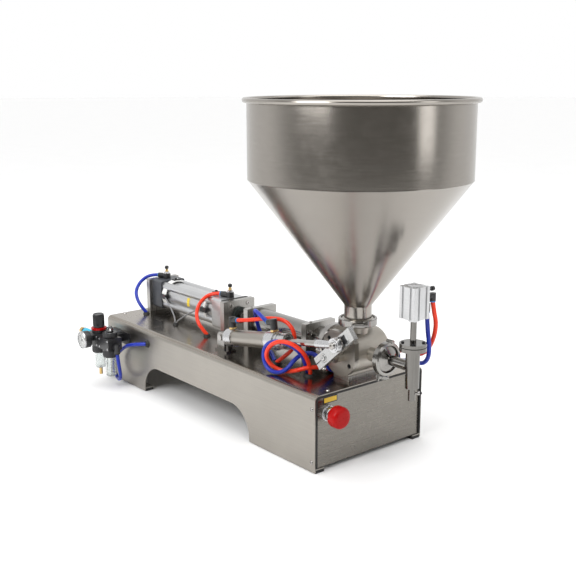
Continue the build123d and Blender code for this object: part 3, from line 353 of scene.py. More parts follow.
def hose_piece(node, points, radius, finish, moving=None):
    """Free hose that replaces its CAD tube; when moving is given, the hose becomes a plain mesh in place, on no
    body.
    """
    hose = route_curve(node + "_cord", points, radius)
    line = centre_line(hose)
    if moving:
        mesh = bpy.data.meshes.new_from_object(hose)
        bpy.data.objects.remove(hose)
        hose = bpy.data.objects.new(node + "_cord", mesh)
        scene.collection.objects.link(hose)
        mesh.shade_smooth()
    hose.data.materials.clear()
    hose.data.materials.append(finish)
    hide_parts(node)
    if moving:
        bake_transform(hose)
    else:
        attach(hose, "frame")


red_hose = surface("red_hose", (0.74, 0.028, 0.006), (0.84, 0.050, 0.012), (0.24, 0.36), (60, 60, 60),
                   bump=0.004, Subsurface_Weight=0.08, Subsurface_Scale=0.003, Specular_IOR_Level=0.36)
blue_hose = surface("blue_hose", (0.008, 0.020, 0.29), (0.015, 0.042, 0.42), (0.24, 0.36), (60, 60, 60),
                    bump=0.004, Subsurface_Weight=0.08, Subsurface_Scale=0.003, Specular_IOR_Level=0.36)
grey_lead = surface("grey_lead", (0.16, 0.16, 0.165), (0.24, 0.24, 0.245), (0.40, 0.52), (200, 200, 200),
                    bump=0.004)

hose_radius = 0.004
lead_radius = 0.0016

hose_piece("hose_air_rear", [
    (-0.342, -0.009, 0.2285), (-0.365, -0.02, 0.227), (-0.371, -0.044, 0.213), (-0.361, -0.064, 0.194),
    (-0.342, -0.071, 0.176), (-0.326, -0.068, 0.16), (-0.32, -0.061, 0.149),
], hose_radius, blue_hose)
hose_piece("hose_air_front", [
    (-0.088, -0.009, 0.2285), (-0.11, -0.02, 0.227), (-0.116, -0.044, 0.213), (-0.107, -0.063, 0.193),
    (-0.091, -0.071, 0.175), (-0.077, -0.068, 0.16), (-0.071, -0.061, 0.149),
], hose_radius, red_hose)
hose_piece("hose_mini_rear", [
    (0.084, -0.093, 0.2177), (0.112, -0.091, 0.223), (0.143, -0.086, 0.231), (0.175, -0.078, 0.238),
    (0.205, -0.071, 0.239), (0.226, -0.068, 0.226), (0.231, -0.067, 0.205), (0.222, -0.066, 0.184),
    (0.202, -0.067, 0.167), (0.1785, -0.069, 0.149),
], hose_radius, red_hose, "mini_cylinder")
hose_piece("hose_mini_front", [
    (0.177, -0.093, 0.2345), (0.154, -0.091, 0.243), (0.128, -0.083, 0.246), (0.109, -0.068, 0.234),
    (0.102, -0.058, 0.211), (0.109, -0.054, 0.187), (0.126, -0.054, 0.171), (0.147, -0.058, 0.16),
    (0.1695, -0.067, 0.149),
], hose_radius, blue_hose, "mini_cylinder")
hose_piece("hose_nozzle_top", [
    (0.277, -0.069, 0.149), (0.281, -0.074, 0.168), (0.285, -0.086, 0.188), (0.285, -0.1, 0.205),
    (0.274, -0.113, 0.217), (0.253, -0.122, 0.218), (0.232, -0.124, 0.208), (0.216, -0.123, 0.193),
    (0.209, -0.12, 0.176), (0.212, -0.111, 0.16), (0.225, -0.1015, 0.151), (0.244, -0.095, 0.1515),
    (0.262, -0.091, 0.157), (0.28, -0.078, 0.165), (0.287, -0.057, 0.163), (0.285, -0.031, 0.154),
    (0.285, -0.004, 0.15), (0.284, 0.026, 0.152), (0.289, 0.054, 0.156), (0.308, 0.075, 0.166),
    (0.336, 0.08, 0.178), (0.368, 0.076, 0.189), (0.4, 0.068, 0.193), (0.428, 0.06, 0.197),
    (0.448, 0.056, 0.208), (0.462, 0.054, 0.226), (0.473, 0.05, 0.248), (0.481, 0.043, 0.272),
    (0.483, 0.034, 0.294), (0.482, 0.031, 0.313),
], hose_radius, red_hose)
hose_piece("hose_nozzle_bottom", [
    (0.2685, -0.0675, 0.149), (0.268, -0.073, 0.168), (0.272, -0.084, 0.1865), (0.27, -0.0975, 0.202),
    (0.255, -0.109, 0.212), (0.234, -0.114, 0.212), (0.2125, -0.115, 0.205), (0.198, -0.1155, 0.191),
    (0.195, -0.1155, 0.173), (0.203, -0.116, 0.157), (0.219, -0.115, 0.1495), (0.238, -0.11, 0.1505),
    (0.251, -0.101, 0.161), (0.253, -0.088, 0.1755), (0.258, -0.07, 0.186), (0.274, -0.057, 0.187),
    (0.294, -0.052, 0.172), (0.298, -0.033, 0.152), (0.296, -0.004, 0.15), (0.294, 0.024, 0.15),
    (0.296, 0.051, 0.154), (0.313, 0.069, 0.159), (0.343, 0.075, 0.165), (0.375, 0.072, 0.172),
    (0.406, 0.066, 0.178), (0.434, 0.056, 0.183), (0.456, 0.047, 0.192), (0.469, 0.041, 0.209),
    (0.473, 0.036, 0.232), (0.471, 0.032, 0.262), (0.47, 0.031, 0.292),
], hose_radius, blue_hose)
hose_piece("hose_supply", [
    (-0.248, -0.182, 0.086), (-0.247, -0.18, 0.062), (-0.252, -0.174, 0.039), (-0.268, -0.166, 0.02),
    (-0.29, -0.16, 0.014), (-0.31, -0.156, 0.026), (-0.3155, -0.153, 0.048), (-0.304, -0.151, 0.069),
    (-0.281, -0.151, 0.086), (-0.254, -0.153, 0.1), (-0.226, -0.155, 0.109), (-0.2045, -0.1515, 0.114),
    (-0.192, -0.141, 0.115),
], hose_radius, blue_hose)
hose_piece("sensor_lead_rear", [
    (-0.274, -0.036, 0.188), (-0.254, -0.042, 0.182), (-0.232, -0.048, 0.173), (-0.211, -0.054, 0.162),
    (-0.199, -0.059, 0.154), (-0.1965, -0.061, 0.1485),
], lead_radius, grey_lead)
hose_piece("sensor_lead_front", [
    (-0.132, -0.036, 0.188), (-0.15, -0.042, 0.182), (-0.167, -0.048, 0.172), (-0.181, -0.055, 0.161),
    (-0.189, -0.06, 0.154), (-0.1915, -0.061, 0.1485),
], lead_radius, grey_lead)


# -------------------------------------------------------------- base and panels

# One stainless sheet bent into a U, with arched sides. The end panels are folded sheet set in its
# ends, with black rubber edging between; the feet are rubber strips under the leg flanges.

def paint(node, *materials, choose=None):
    """Finishes for a CAD node; choose picks one from a face's centre, in millimetres, and its normal."""
    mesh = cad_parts[node].data
    mesh.materials.clear()
    for material in materials:
        mesh.materials.append(material)
    for face in mesh.polygons:
        face.material_index = choose(face.center / MM, face.normal) if choose else 0


satin_steel = surface("satin_steel", (0.33, 0.31, 0.28), (0.40, 0.375, 0.34), (0.30, 0.38), (12, 12, 1300),
                      bump=0.004, smudge=0.05, Metallic=1.0)
table_steel = surface("table_steel", (0.30, 0.272, 0.238), (0.39, 0.354, 0.31), (0.17, 0.25), (6, 460, 460),
                      bump=0.004, Metallic=1.0)
# Steel of the end panels, much darker than the sides' steel: painted shade, so the end faces look shaded.
panel_steel_painted_shade = surface("panel_steel_painted_shade", (0.20, 0.188, 0.168), (0.25, 0.235, 0.21), (0.20, 0.32), (460, 3, 460),
                      bump=0.010, Metallic=1.0)
black_rubber = surface("black_rubber", (0.008, 0.008, 0.008), (0.022, 0.021, 0.020), (0.50, 0.68),
                       (500, 500, 500), bump=0.02)

label_y = -0.0995
label_z = 0.132
label_half_width = 0.0149
label_half_height = 0.0045
label_line = 0.0003


def label_border(g, tone):
    """Black border of the small yellow plate."""
    side = (g.axis(1) - label_y).math("ABSOLUTE").step(label_half_width - label_line, label_half_width)
    end = (g.axis(2) - label_z).math("ABSOLUTE").step(label_half_height - label_line, label_half_height)
    return side.math("MAXIMUM", end).mix(tone, rgb(0.015, 0.015, 0.015))


yellow_label = surface("yellow_label", (0.80, 0.50, 0.015), (0.88, 0.60, 0.03), (0.30, 0.42),
                       (200, 200, 200), colour=label_border)


def shell_face(centre, normal):
    """Finish of a face of the shell: 1 on its level top, 0 on its sides."""
    return 1 if normal.z > 0.6 and centre.z > 130 else 0


# Satin sides, with a mirror-like top.
paint("base_shell", satin_steel, table_steel, choose=shell_face)
# Both end panels take the darker steel, a painted shade on their faces.
paint("front_panel", panel_steel_painted_shade)
paint("rear_panel", panel_steel_painted_shade)
paint("rubber_trim", black_rubber)
paint("feet", black_rubber)
paint("warning_plate", yellow_label)


# ----------------------------------------------------------------------- screws

# Stainless and blackened screws with hexagon sockets. All heads of one kind are one turned shape
# that stands on every seat of its kind.
blackened = surface("blackened", (0.025, 0.025, 0.028), (0.05, 0.05, 0.055), (0.30, 0.45), (500, 500, 500),
                    bump=0.006, Metallic=0.6)
polished_steel = surface("polished_steel", (0.36, 0.345, 0.33), (0.46, 0.445, 0.43), (0.10, 0.18),
                         (90, 90, 90), bump=0.0015, smudge=0.10, Metallic=1.0)


def screw_field():
    """Group that stands a screw head on every point, along the point's own aim."""
    tree = bpy.data.node_groups.new("screw_field", "GeometryNodeTree")
    for name, kind in (("Points", "Geometry"), ("Head", "Object"), ("Finish", "Material")):
        tree.interface.new_socket(name, in_out="INPUT", socket_type="NodeSocket" + kind)
    tree.interface.new_socket("Screws", in_out="OUTPUT", socket_type="NodeSocketGeometry")
    g = Graph(tree)
    given = tree.nodes.new("NodeGroupInput")
    points, head, finish = (Socket(g, given.outputs[k]) for k in range(3))
    aim = g.node("GeometryNodeInputNamedAttribute", {"data_type": "FLOAT_VECTOR"}, {"Name": "aim"})
    turn = g.node("FunctionNodeAlignRotationToVector", {"axis": "Z"}, {"Vector": aim})
    model = g.node("GeometryNodeObjectInfo", None, {"Object": head}, 4)
    placed = g.node("GeometryNodeInstanceOnPoints", None,
                    {"Points": points, "Instance": model, "Rotation": turn})
    solid = g.node("GeometryNodeRealizeInstances", None, {0: placed})
    painted = g.node("GeometryNodeSetMaterial", None, {"Geometry": solid, "Material": finish})
    g.node("NodeGroupOutput", None, {0: painted})
    return tree


SCREW_FIELD = screw_field()


def screws(name, head_profile, spots, finish):
    """Screws of one kind; spots are pairs of seat and outward direction, in millimetres."""
    head = Shape().lathe(head_profile, (0, 0, 0), steps=48, soft=0.25)
    head = head.done(name + "_head", [], None, None)
    mesh = bpy.data.meshes.new(name)
    mesh.from_pydata([Vector(seat) * MM for seat, aim in spots], [], [])
    aims = mesh.attributes.new("aim", "FLOAT_VECTOR", "POINT")
    for item, (seat, aim) in zip(aims.data, spots):
        item.vector = aim
    field = bpy.data.objects.new(name, mesh)
    scene.collection.objects.link(field)
    modifier = field.modifiers.new("screws", "NODES")
    modifier.node_group = SCREW_FIELD
    inputs = [item for item in SCREW_FIELD.interface.items_tree if item.in_out == "INPUT"]
    sockets = {item.name: item.identifier for item in inputs}
    modifier[sockets["Head"]] = head
    modifier[sockets["Finish"]] = finish
    graph = bpy.context.evaluated_depsgraph_get()
    made = bpy.data.meshes.new_from_object(field.evaluated_get(graph))
    bpy.data.objects.remove(field)
    bpy.data.objects.remove(head)
    made.set_sharp_from_angle(angle=math.radians(32))
    field = bpy.data.objects.new(name, made)
    scene.collection.objects.link(field)
    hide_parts("machine_screws")
    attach(field, "frame")


# Domed screws with hexagon sockets in the panels and the table, on the sheet's outer faces.
upward = (0, 0, 1)
outward = (1, 0, 0)
near_side = (0, -1, 0)
sheet_y = 137
table_z = 145
dome = [(0, 0.9), (1.4, 0.9, "hex"), (1.4, 2.15, "hex"), (2.0, 2.1), (3.3, 1.3), (4.0, 0.2), (4.0, 0), (0, 0)]
spots = [((x, side * sheet_y, z), (0, side, 0)) for x in (-359, 359) for z in (19, 119) for side in (-1, 1)]
spots += [((x, y, table_z), upward) for x in (-357, 357) for y in (-97, 97)]
screws("panel_screw_heads", dome, spots, polished_steel)

# Screws of the drive line's plates, and the small grub screws in their top edges.
low_head = [(0, 0.2), (2.2, 0.2, "hex"), (2.2, 1.5, "hex"), (4.2, 1.5), (4.5, 1.2), (4.5, 0), (0, 0)]
spots = [((-35, y, z), outward) for y in (-22, 22) for z in (167, 213)]
screws("plate_screw_heads", low_head, spots, polished_steel)
pin_head = [(0, 0.7), (1.3, 0.7, "hex"), (1.3, 2, "hex"), (2.6, 2), (3, 1.5), (3, 0), (0, 0)]
spots = [((37, -22, 222.5), upward), ((221, -20, 229), upward)]
screws("top_screw_heads", pin_head, spots, polished_steel)

# Hexagon bolts that hold the cylinder plate, with a washer under each.
hexagon = [(0, 4.9), (3.9, 4.9), (4.4, 4.5, "hex"), (4.4, 1.2, "hex"), (5.6, 1.2), (5.7, 0), (0, 0)]
spots = [((228, y, z), outward) for y in (-30, 30) for z in (165, 212)]
screws("hexagon_bolts", hexagon, spots, polished_steel)

# Socket screws sunk in the valve cover, round the valve's shaft.
valve_x = 330
valve_z = 196
sunk = [(0, 2.2), (2.1, 2.2, "hex"), (2.1, 4.4, "hex"), (4.1, 4.4), (4.45, 4.0), (4.45, 0), (0, 0)]
spots = [((valve_x + x, -40, valve_z + z), near_side) for z in (-17, 25) for x in (27, -27)]
screws("cover_screw_heads", sunk, spots, blackened)

# Foot bolts of the valve, and the dark screws of the nozzle's cap.
low = [(0, 1.4), (1.4, 1.4, "hex"), (1.4, 2.9, "hex"), (2.7, 2.9), (3.0, 2.5), (3.0, 0), (0, 0)]
spots = [((x, y, 154), upward) for x, y in ((307.5, -31.5), (307.5, 46), (341, 46))]
screws("foot_bolt_heads", low, spots, polished_steel)
small = [(0, 1.0), (1.3, 1.0, "hex"), (1.3, 2.2, "hex"), (2.5, 2.2), (2.8, 1.9), (2.8, 0), (0, 0)]
nozzle_x = 468
cap_z = 240
bolt_circle = 18
spots = []
for k in range(4):
    turn = math.radians(45 + 90 * k)
    seat = (nozzle_x + bolt_circle * math.cos(turn), bolt_circle * math.sin(turn), cap_z)
    spots.append((seat, upward))
screws("flange_screw_heads", small, spots, blackened)


# --------------------------------------------------------------- emergency stop

# Latching stop button in the front panel: a plated collar, a stem, and a red moulded head that is
# pushed in and twisted to release.
bright_cap = surface("bright_cap", (0.50, 0.50, 0.51), (0.62, 0.62, 0.63), (0.20, 0.32), (300, 300, 300),
                     bump=0.004, Metallic=1.0)
black_plastic = surface("black_plastic", (0.010, 0.010, 0.011), (0.024, 0.024, 0.026), (0.26, 0.40),
                        (700, 700, 700), bump=0.012)
red_plastic = surface("red_plastic", (0.34, 0.002, 0.002), (0.43, 0.004, 0.004), (0.26, 0.38),
                      (200, 200, 200), bump=0.003, Specular_IOR_Level=0.16)

# Silver collar with a knurled lock ring, its threaded tail, and the switch block behind the panel.
collar_seat = (366, -106, 108)
collar = Shape()
collar.lathe([(7.2, 13), (11.6, 13), (12.5, 12), (12.5, 4), (12.5, 3.2), (7.2, 3.2), (7.2, 13)], collar_seat,
             outward, 96)
collar.lathe([(7.2, 0), (15, 0), (15, 2.8, 0.5), (14.2, 3.4, 0.5), (7.2, 3.4), (7.2, 0)], collar_seat,
             outward, 96)
collar.lathe([(7.2, -20), (11, -20), (11, -1), (7.2, -1), (7.2, -20)], collar_seat, outward, 64, material=1)
collar.block((318, -121, 93), (346, -91, 123), 1.5, material=1)
collar = collar.done("stop_collar", [bright_cap, black_plastic], "silver_aluminium")
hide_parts("estop_housing")
paint("estop_stem", bright_cap)

# Red mushroom head with a shallow dished face and a rounded rim.
button_back = (386, -106, 108)
button = Shape()
button.lathe([(7.2, 0), (17.5, 0), (19.4, 1.2), (20, 3.5), (20, 14.5), (19.4, 17.6), (17.6, 19.8),
              (14.8, 21.0), (10, 21.4), (0, 21.6)], button_back, outward, 96, soft=0)
button.lathe([(0, 4.2), (7.2, 4.2), (7.2, 0)], button_back, outward, 96, soft=0)
button = button.done("stop_button", [red_plastic], "red_plastic", "estop_button", 50)
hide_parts("estop_head")


# ------------------------------------------------------------------- drive line

# Air cylinder and product cylinder on one rod, held by four upright plates. The barrel is drawn
# aluminium, the product cylinder polished stainless tube.
tube_steel = surface("tube_steel", (0.26, 0.25, 0.24), (0.36, 0.35, 0.33), (0.12, 0.20), (420, 4, 4),
                     bump=0.002, Metallic=1.0)
plate_steel = surface("plate_steel", (0.37, 0.36, 0.34), (0.47, 0.46, 0.44), (0.24, 0.36), (500, 500, 4),
                      bump=0.006, Metallic=1.0)
anodised = surface("anodised", (0.56, 0.565, 0.57), (0.66, 0.665, 0.67), (0.30, 0.42), (5, 420, 420),
                   bump=0.003, smudge=0.05, Metallic=1.0)
slate = surface("slate", (0.035, 0.038, 0.045), (0.065, 0.07, 0.08), (0.34, 0.46), (600, 600, 600),
                bump=0.02, Metallic=0.0)
green_rubber = surface("green_rubber", (0.004, 0.008, 0.007), (0.010, 0.018, 0.015), (0.42, 0.58),
                       (500, 500, 500), bump=0.01)
white_plastic = surface("white_plastic", (0.74, 0.74, 0.72), (0.84, 0.84, 0.82), (0.34, 0.46),
                        (300, 300, 300), bump=0.004)
brass = surface("brass", (0.58, 0.40, 0.15), (0.74, 0.54, 0.24), (0.16, 0.30), (400, 400, 400), bump=0.004,
                Metallic=1.0)
sticker = surface("sticker", (0.80, 0.56, 0.03), (0.88, 0.66, 0.06), (0.34, 0.46), (200, 200, 200))

paint("support_plates", plate_steel)
paint("air_rear_cap", slate)
paint("air_barrel", anodised)
paint("air_front_cap", anodised)
paint("pistons", anodised)
paint("piston_seals", black_rubber)
paint("main_rod", polished_steel)
paint("product_cylinder", tube_steel)
paint("cylinder_clamp", polished_steel)
paint("reed_sensors", black_plastic)


def gasket_face(centre, normal):
    """Finish of a face of the seals: 1 on the gland by the cylinder plate, 0 on the gaskets."""
    return 1 if -47 < centre.x < -20 else 0


# Black gaskets and the dark green gland round the rod.
paint("gaskets", black_rubber, green_rubber, choose=gasket_face)

# Machined ring where the barrel enters the rear cap.
rod_z = 190
ring = Shape().lathe([(28.2, 0), (32.2, 0), (32.2, 2.6), (31.4, 3.4), (28.6, 3.4), (28.2, 3.0), (28.2, 0)],
                     (-297, 0, rod_z), outward, 96)
ring.done("rear_cap_ring", [bright_cap], "silver_aluminium")

# Blank yellow sticker on the near side of the barrel.
sticker_radius = 28.45
columns = 11
patch = Shape()
rows = []
for x in (-196, -191, -186):
    turns = [math.radians(4 * k - 16) for k in range(columns)]
    places = [Vector((x, -sticker_radius * math.cos(t), rod_z + sticker_radius * math.sin(t))) for t in turns]
    rows.append([patch.bm.verts.new(place * MM) for place in places])
for low_row, high_row in zip(rows, rows[1:]):
    for k in range(columns - 1):
        patch.bm.faces.new((low_row[k], high_row[k], high_row[k + 1], low_row[k + 1]))
patch.done("barrel_sticker", [sticker], "yellow_plate")

# Sensor straps: a band round the barrel, wide at the rear and narrow at the front, its worm screw,
# and a small light on each sensor.
for number, (x, half) in enumerate(((-285, 8), (-121, 4))):
    strap = Shape()
    strap.lathe([(31.4, -half), (33.4, -half), (33.9, -half + 0.6), (33.9, half - 0.6), (33.4, half),
                 (31.4, half), (31.4, -half)], (x, 0, rod_z), outward, 96, soft=0.2)
    strap.block((x - 5, -3, 223.2), (x + 5, 9, 225.2), 0.4)
    strap.lathe([(0, 0), (2.6, 0), (2.6, 2.4), (1.2, 2.4, "hex"), (1.2, 1.2, "hex"), (0, 1.2)], (x, 3, 226),
                steps=48)
    strap.lathe([(0, 0), (1.1, 0), (0.8, 0.5), (0, 0.6)], (x + 6, -37.0, 192.5), near_side, 24, material=1,
                soft=0)
    strap.done(f"sensor_strap_{number}", [white_plastic, red_plastic], "silver_aluminium")


# ----------------------------------------------------------------- air fittings

# Black push-in elbows with blue release rings. The two on the air cylinder carry a needle valve
# whose brass stem ends in a black knob.
blue_ring = surface("blue_ring", (0.03, 0.16, 0.42), (0.05, 0.22, 0.52), (0.28, 0.38), (300, 300, 300))


def fitting_face(centre, normal):
    """Finish of a face of the flow controls: 1 on their hexagons, 0 on their bodies."""
    return 1 if centre.x < 0 and (centre.z > 234.4 or centre.z < 223) else 0


paint("air_fittings", black_plastic, bright_cap, choose=fitting_face)
paint("mini_elbows", black_plastic)

# The mini cylinder's line rises a little from its pin towards the lever.
tilt = math.radians(9.73)
pin = (39, -93, 174)
along_rod = (math.cos(tilt), 0, math.sin(tilt))
off_rod = (-math.sin(tilt), 0, math.cos(tilt))


def by_rod(along, off=0):
    """Point by the mini cylinder's line, so far along it from the pin and so far off it."""
    return tuple(start + along * ahead + off * aside for start, ahead, aside in zip(pin, along_rod, off_rod))


# Release rings where the hoses go in.
collet = [(4.05, 0), (5.4, 0), (5.4, 1.4), (5.0, 2.6), (4.05, 2.6), (4.05, 0)]
for name, at, way, body in (
    ("collet_air_rear", (-341.9, -9.3, 228.5), (-0.906, -0.423, 0), "frame"),
    ("collet_air_front", (-87.9, -9.3, 228.5), (-0.906, -0.423, 0), "frame"),
    ("collet_nozzle_top", (482, 31, 313), (0, 0, -1), "frame"),
    ("collet_nozzle_bottom", (470, 31, 292), (0, 0, -1), "frame"),
    ("collet_mini_rear", (83.4, -93, 217.1), along_rod, "mini_cylinder"),
    ("collet_mini_front", (181.9, -93, 233.9), tuple(-part for part in along_rod), "mini_cylinder"),
):
    Shape().lathe(collet, at, way, 48, soft=0.2).done(name, [blue_ring], "blue_sleeve", body)

# Brass hexagons under the elbows of the mini cylinder.
for name, along in (("thread_mini_rear", 34), ("thread_mini_front", 168)):
    thread = Shape().lathe([(0, 0), (6.6, 0, "hex"), (6.6, 3.6, "hex"), (5.4, 3.6), (5.4, 4.4), (0, 4.4)],
                           by_rod(along, 17.6), off_rod, 48)
    thread.done(name, [brass], "brass_fitting", "mini_cylinder")

# Knurled knobs of the two flow controls, on brass stems with a lock nut.
for node, body, x in (("rear_flow_knob", "rear_needle", -322), ("front_flow_knob", "front_needle", -68)):
    seat = (x, 0, 222.5)
    knob = Shape()
    knob.lathe([(0, 9), (2.5, 9), (2.5, 17), (3.6, 17, 0.2), (3.6, 20.2, 0.2), (3.0, 20.6), (2.4, 21),
                (2.4, 22.9), (0, 22.9)], seat, steps=72, soft=0.15)
    knob.lathe([(0, 22.6), (3.4, 22.6), (4.2, 23.2, 0.3), (4.6, 24.6, 0.3), (4.6, 27.2, 0.3), (4.1, 29.0),
                (2.8, 29.9), (0, 30)], seat, steps=72, material=1, soft=0)
    knob = knob.done(node + "_turned", [brass, black_plastic], "polished_steel", body)
    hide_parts(node)


# ----------------------------------------------------------------- rotary valve

# Cast and bead-blasted valve body with a satin cover. The lever is a brushed bar that is
# clamped on the shaft by its split end.
cast_steel = surface("cast_steel", (0.45, 0.42, 0.375), (0.53, 0.50, 0.45), (0.40, 0.52), (900, 900, 900),
                     bump=0.05, Metallic=1.0)
lever_steel = surface("lever_steel", (0.41, 0.41, 0.405), (0.52, 0.52, 0.515), (0.20, 0.32), (420, 420, 60),
                      bump=0.006, Metallic=1.0)

paint("valve_foot", plate_steel)
paint("valve_body", cast_steel)
paint("valve_cover", satin_steel)
paint("valve_rotor", polished_steel)
paint("lever", lever_steel)
paint("lever_screw", polished_steel)

# End of the valve shaft in the lever: a turned face with a socket screw and its washer.
shaft_end = Shape()
shaft_end.lathe([(0, -0.5), (8.4, -0.5), (8.4, 0.3), (7.8, 0.8), (5.6, 0.8), (5.2, 0.4), (4.6, 0.4),
                 (4.6, 2.6), (4.2, 3.0), (2.3, 3.0, "hex"), (2.3, 1.2, "hex"), (0, 1.2)],
                (valve_x, -84, valve_z), near_side, 96)
shaft_end.done("shaft_end_screw", [lever_steel], "polished_steel", "valve_lever")

# Black stop block set in the far end of the lever's window.
lever_turn = Matrix.Rotation(math.radians(-41), 3, "Y")
half_window = 7.4
stop = Shape().block((valve_x + 62, -82.5, valve_z - half_window), (valve_x + 75.9, -75, valve_z + half_window),
                     0.5, turn=lever_turn, about=(valve_x, 0, valve_z))
stop.done("window_stop", [black_plastic], "black_plastic", "valve_lever")


# ---------------------------------------------------------------- mini cylinder

# Small stainless cylinder that swings the lever. It hangs on a pin in a two-eared bracket and
# pulls the lever through a rod end.
paint("clevis_bracket", tube_steel)
paint("clevis_pin", polished_steel)
paint("mini_barrel", satin_steel)
paint("mini_caps", bright_cap)
paint("mini_rod", polished_steel)
paint("rod_end", bright_cap)

# Bolt of the rod end: socket head over a wide washer, shank, and a thin washer and nut behind the lever.
bolt_seat = (370, -97.5, 230.8)
bolt = Shape()
bolt.lathe([(0, -29), (4, -29), (4, 0.2), (0, 0.2)], bolt_seat, near_side, 48)
bolt.lathe([(3.9, 0.2), (9.6, 0.2), (9.6, 1.3), (3.9, 1.3), (3.9, 0.2)], bolt_seat, near_side, 64, material=1)
bolt.lathe([(0, 1.2), (6.3, 1.2), (6.3, 5.0), (5.6, 5.6), (3.0, 5.6, "hex"), (3.0, 3.0, "hex"), (0, 3.0)],
           bolt_seat, near_side, 96)
bolt.lathe([(3.9, -28.4), (7.4, -28.4, "hex"), (7.4, -24.2, "hex"), (3.9, -24.2), (3.9, -28.4)], bolt_seat,
           near_side, 48)
bolt.lathe([(3.9, -13.2), (6, -13.2), (6, -9.4), (3.9, -9.4), (3.9, -13.2)], bolt_seat, near_side, 64)
bolt = bolt.done("rod_end_bolt_detailed", [polished_steel, bright_cap], "polished_steel", "mini_piston_rod")
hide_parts("rod_end_bolt")

# Rolled grooves where the barrel is crimped on the caps, and the scraper round the rod.
for name, along in (("crimp_rear", 43), ("crimp_front", 146)):
    crimp = Shape().lathe([(15.6, -1.6), (16.5, -1.2), (16.1, 0), (16.5, 1.2), (15.6, 1.6), (15.6, -1.6)],
                          by_rod(along), along_rod, 96, soft=0)
    crimp.done(name, [satin_steel], "stainless_sheet", "mini_cylinder")
scraper = Shape().lathe([(6.1, -0.4), (9.5, -0.4), (9.5, 0.6), (8.6, 1.5), (6.1, 2.2), (6.1, -0.4)],
                        by_rod(206), along_rod, 64)
scraper.done("rod_scraper", [black_rubber], "black_rubber", "mini_cylinder")


# ----------------------------------------------------------------------- hopper

# Spun stainless sheet of 1.5 mm: a neck welded to a cone, and the cone to a cylinder whose top is
# rolled over a wire.
hopper_steel = surface("hopper_steel", (0.325, 0.303, 0.274), (0.365, 0.34, 0.31), (0.19, 0.235),
                       (24, 24, 1500), bump=0.003, smudge=0.03, Metallic=1.0)

# Neck, cone and cylinder in one wall, with weld beads at its joints and the rim's wire at its top.
rim_radius = 203.5
rim_z = 649.5
wire = 4.5
wall = [(31, 254), (31, 256), (25.5, 259), (25.5, 281), (26.1, 282.5), (27.2, 284.6), (198.9, 511.6),
        (200.3, 512.7), (200.0, 514.5), (200, 645.6)]
for k in range(13):
    angle = math.radians(200 - 25 * k)
    wall.append((rim_radius + wire * math.cos(angle), rim_z + wire * math.sin(angle)))
wall += [(198.5, 644), (198.5, 513.5), (24, 283), (24, 254), (31, 254)]
hopper = Shape().lathe(wall, (valve_x, 0, 0), steps=192, soft=0)
hopper = hopper.done("hopper_spun", [hopper_steel], "stainless_sheet", smooth=24)
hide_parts("hopper")


# ------------------------------------------------------------ outlet and nozzle

# Polished pipe, clamps and an upright nozzle. A compact air cylinder on the hollow stem lifts the
# stopper that opens the tip.
# The nozzle's steel is much darker than the other polished steel: a painted dark reflection of the surroundings
# that its polished faces mirror.
nozzle_steel_dark_reflection = surface("nozzle_steel_dark_reflection", (0.16, 0.154, 0.144), (0.225, 0.217, 0.203), (0.10, 0.17),
                       (420, 420, 3), bump=0.002, Metallic=1.0)

paint("pipe_clamps", tube_steel)
paint("outlet_pipe", tube_steel)
paint("nozzle_body", nozzle_steel_dark_reflection)
paint("nozzle_stem", nozzle_steel_dark_reflection)
paint("nozzle_cylinder", anodised)
paint("nozzle_plunger", polished_steel)

# Thumb screw in the nozzle's tip, with a black end.
screw_seat = (nozzle_x, 0, 148)
screw_aim = (0.64, 0.77, 0)
screw = Shape()
screw.lathe([(0, 5.5), (2.0, 5.5), (2.0, 9), (3.6, 9.2), (3.6, 13.5), (3.0, 14), (0, 14)], screw_seat,
            screw_aim, 48)
screw.lathe([(0, 14), (2.4, 14), (2.4, 17.2), (1.8, 18), (0, 18)], screw_seat, screw_aim, 48, material=1)
screw.done("tip_screw", [polished_steel, black_plastic], "polished_steel")

# Lock nut and top cover of the nozzle's air cylinder.
cover = Shape()
cover.lathe([(5.6, 0), (9.0, 0, "hex"), (9.0, 5, "hex"), (5.6, 5), (5.6, 0)], (nozzle_x, 0, 279), steps=48)
cover.lathe([(0, 0), (13.2, 0), (13.2, 0.5), (11.5, 0.5), (11.5, 0.2), (0, 0.2)], (nozzle_x, 0, 341),
            steps=96, soft=0.1)
cover.done("cylinder_lock_nut", [bright_cap], "silver_aluminium")


# --------------------------------------------------------- air preparation unit

# Filter regulator and lubricator in black moulded bodies with clear bowls, a gauge in front, and
# the hand slide valve behind.
cyan_sleeve = surface("cyan_sleeve", (0.03, 0.42, 0.62), (0.05, 0.52, 0.72), (0.24, 0.34), (8, 400, 400),
                      bump=0.004, Metallic=0.35)
clear_bowl = surface("clear_bowl", (0.80, 0.83, 0.82), (0.90, 0.92, 0.91), (0.04, 0.10), (120, 120, 120),
                     bump=0.002, Transmission_Weight=0.92, IOR=1.50)
clear_glass = surface("clear_glass", (0.95, 0.96, 0.96), (0.99, 0.99, 0.99), (0.01, 0.03), (80, 80, 80),
                      Transmission_Weight=1.0, IOR=1.46)


def air_unit_face(centre, normal):
    """Finish of a face of the small fittings, by where it is on the unit."""
    outlet, drain_and_inlet, lock_ring, sight_dome = range(4)
    if centre.x < -345:
        return drain_and_inlet
    if centre.x > -262:
        return outlet
    if centre.z > 131.8:
        return sight_dome if centre.x > -295 else lock_ring
    return lock_ring if centre.z > 125 else drain_and_inlet


paint("frl_fittings", black_plastic, brass, red_plastic, clear_glass, choose=air_unit_face)
paint("frl_bodies", black_plastic)
paint("frl_bowls", clear_bowl)

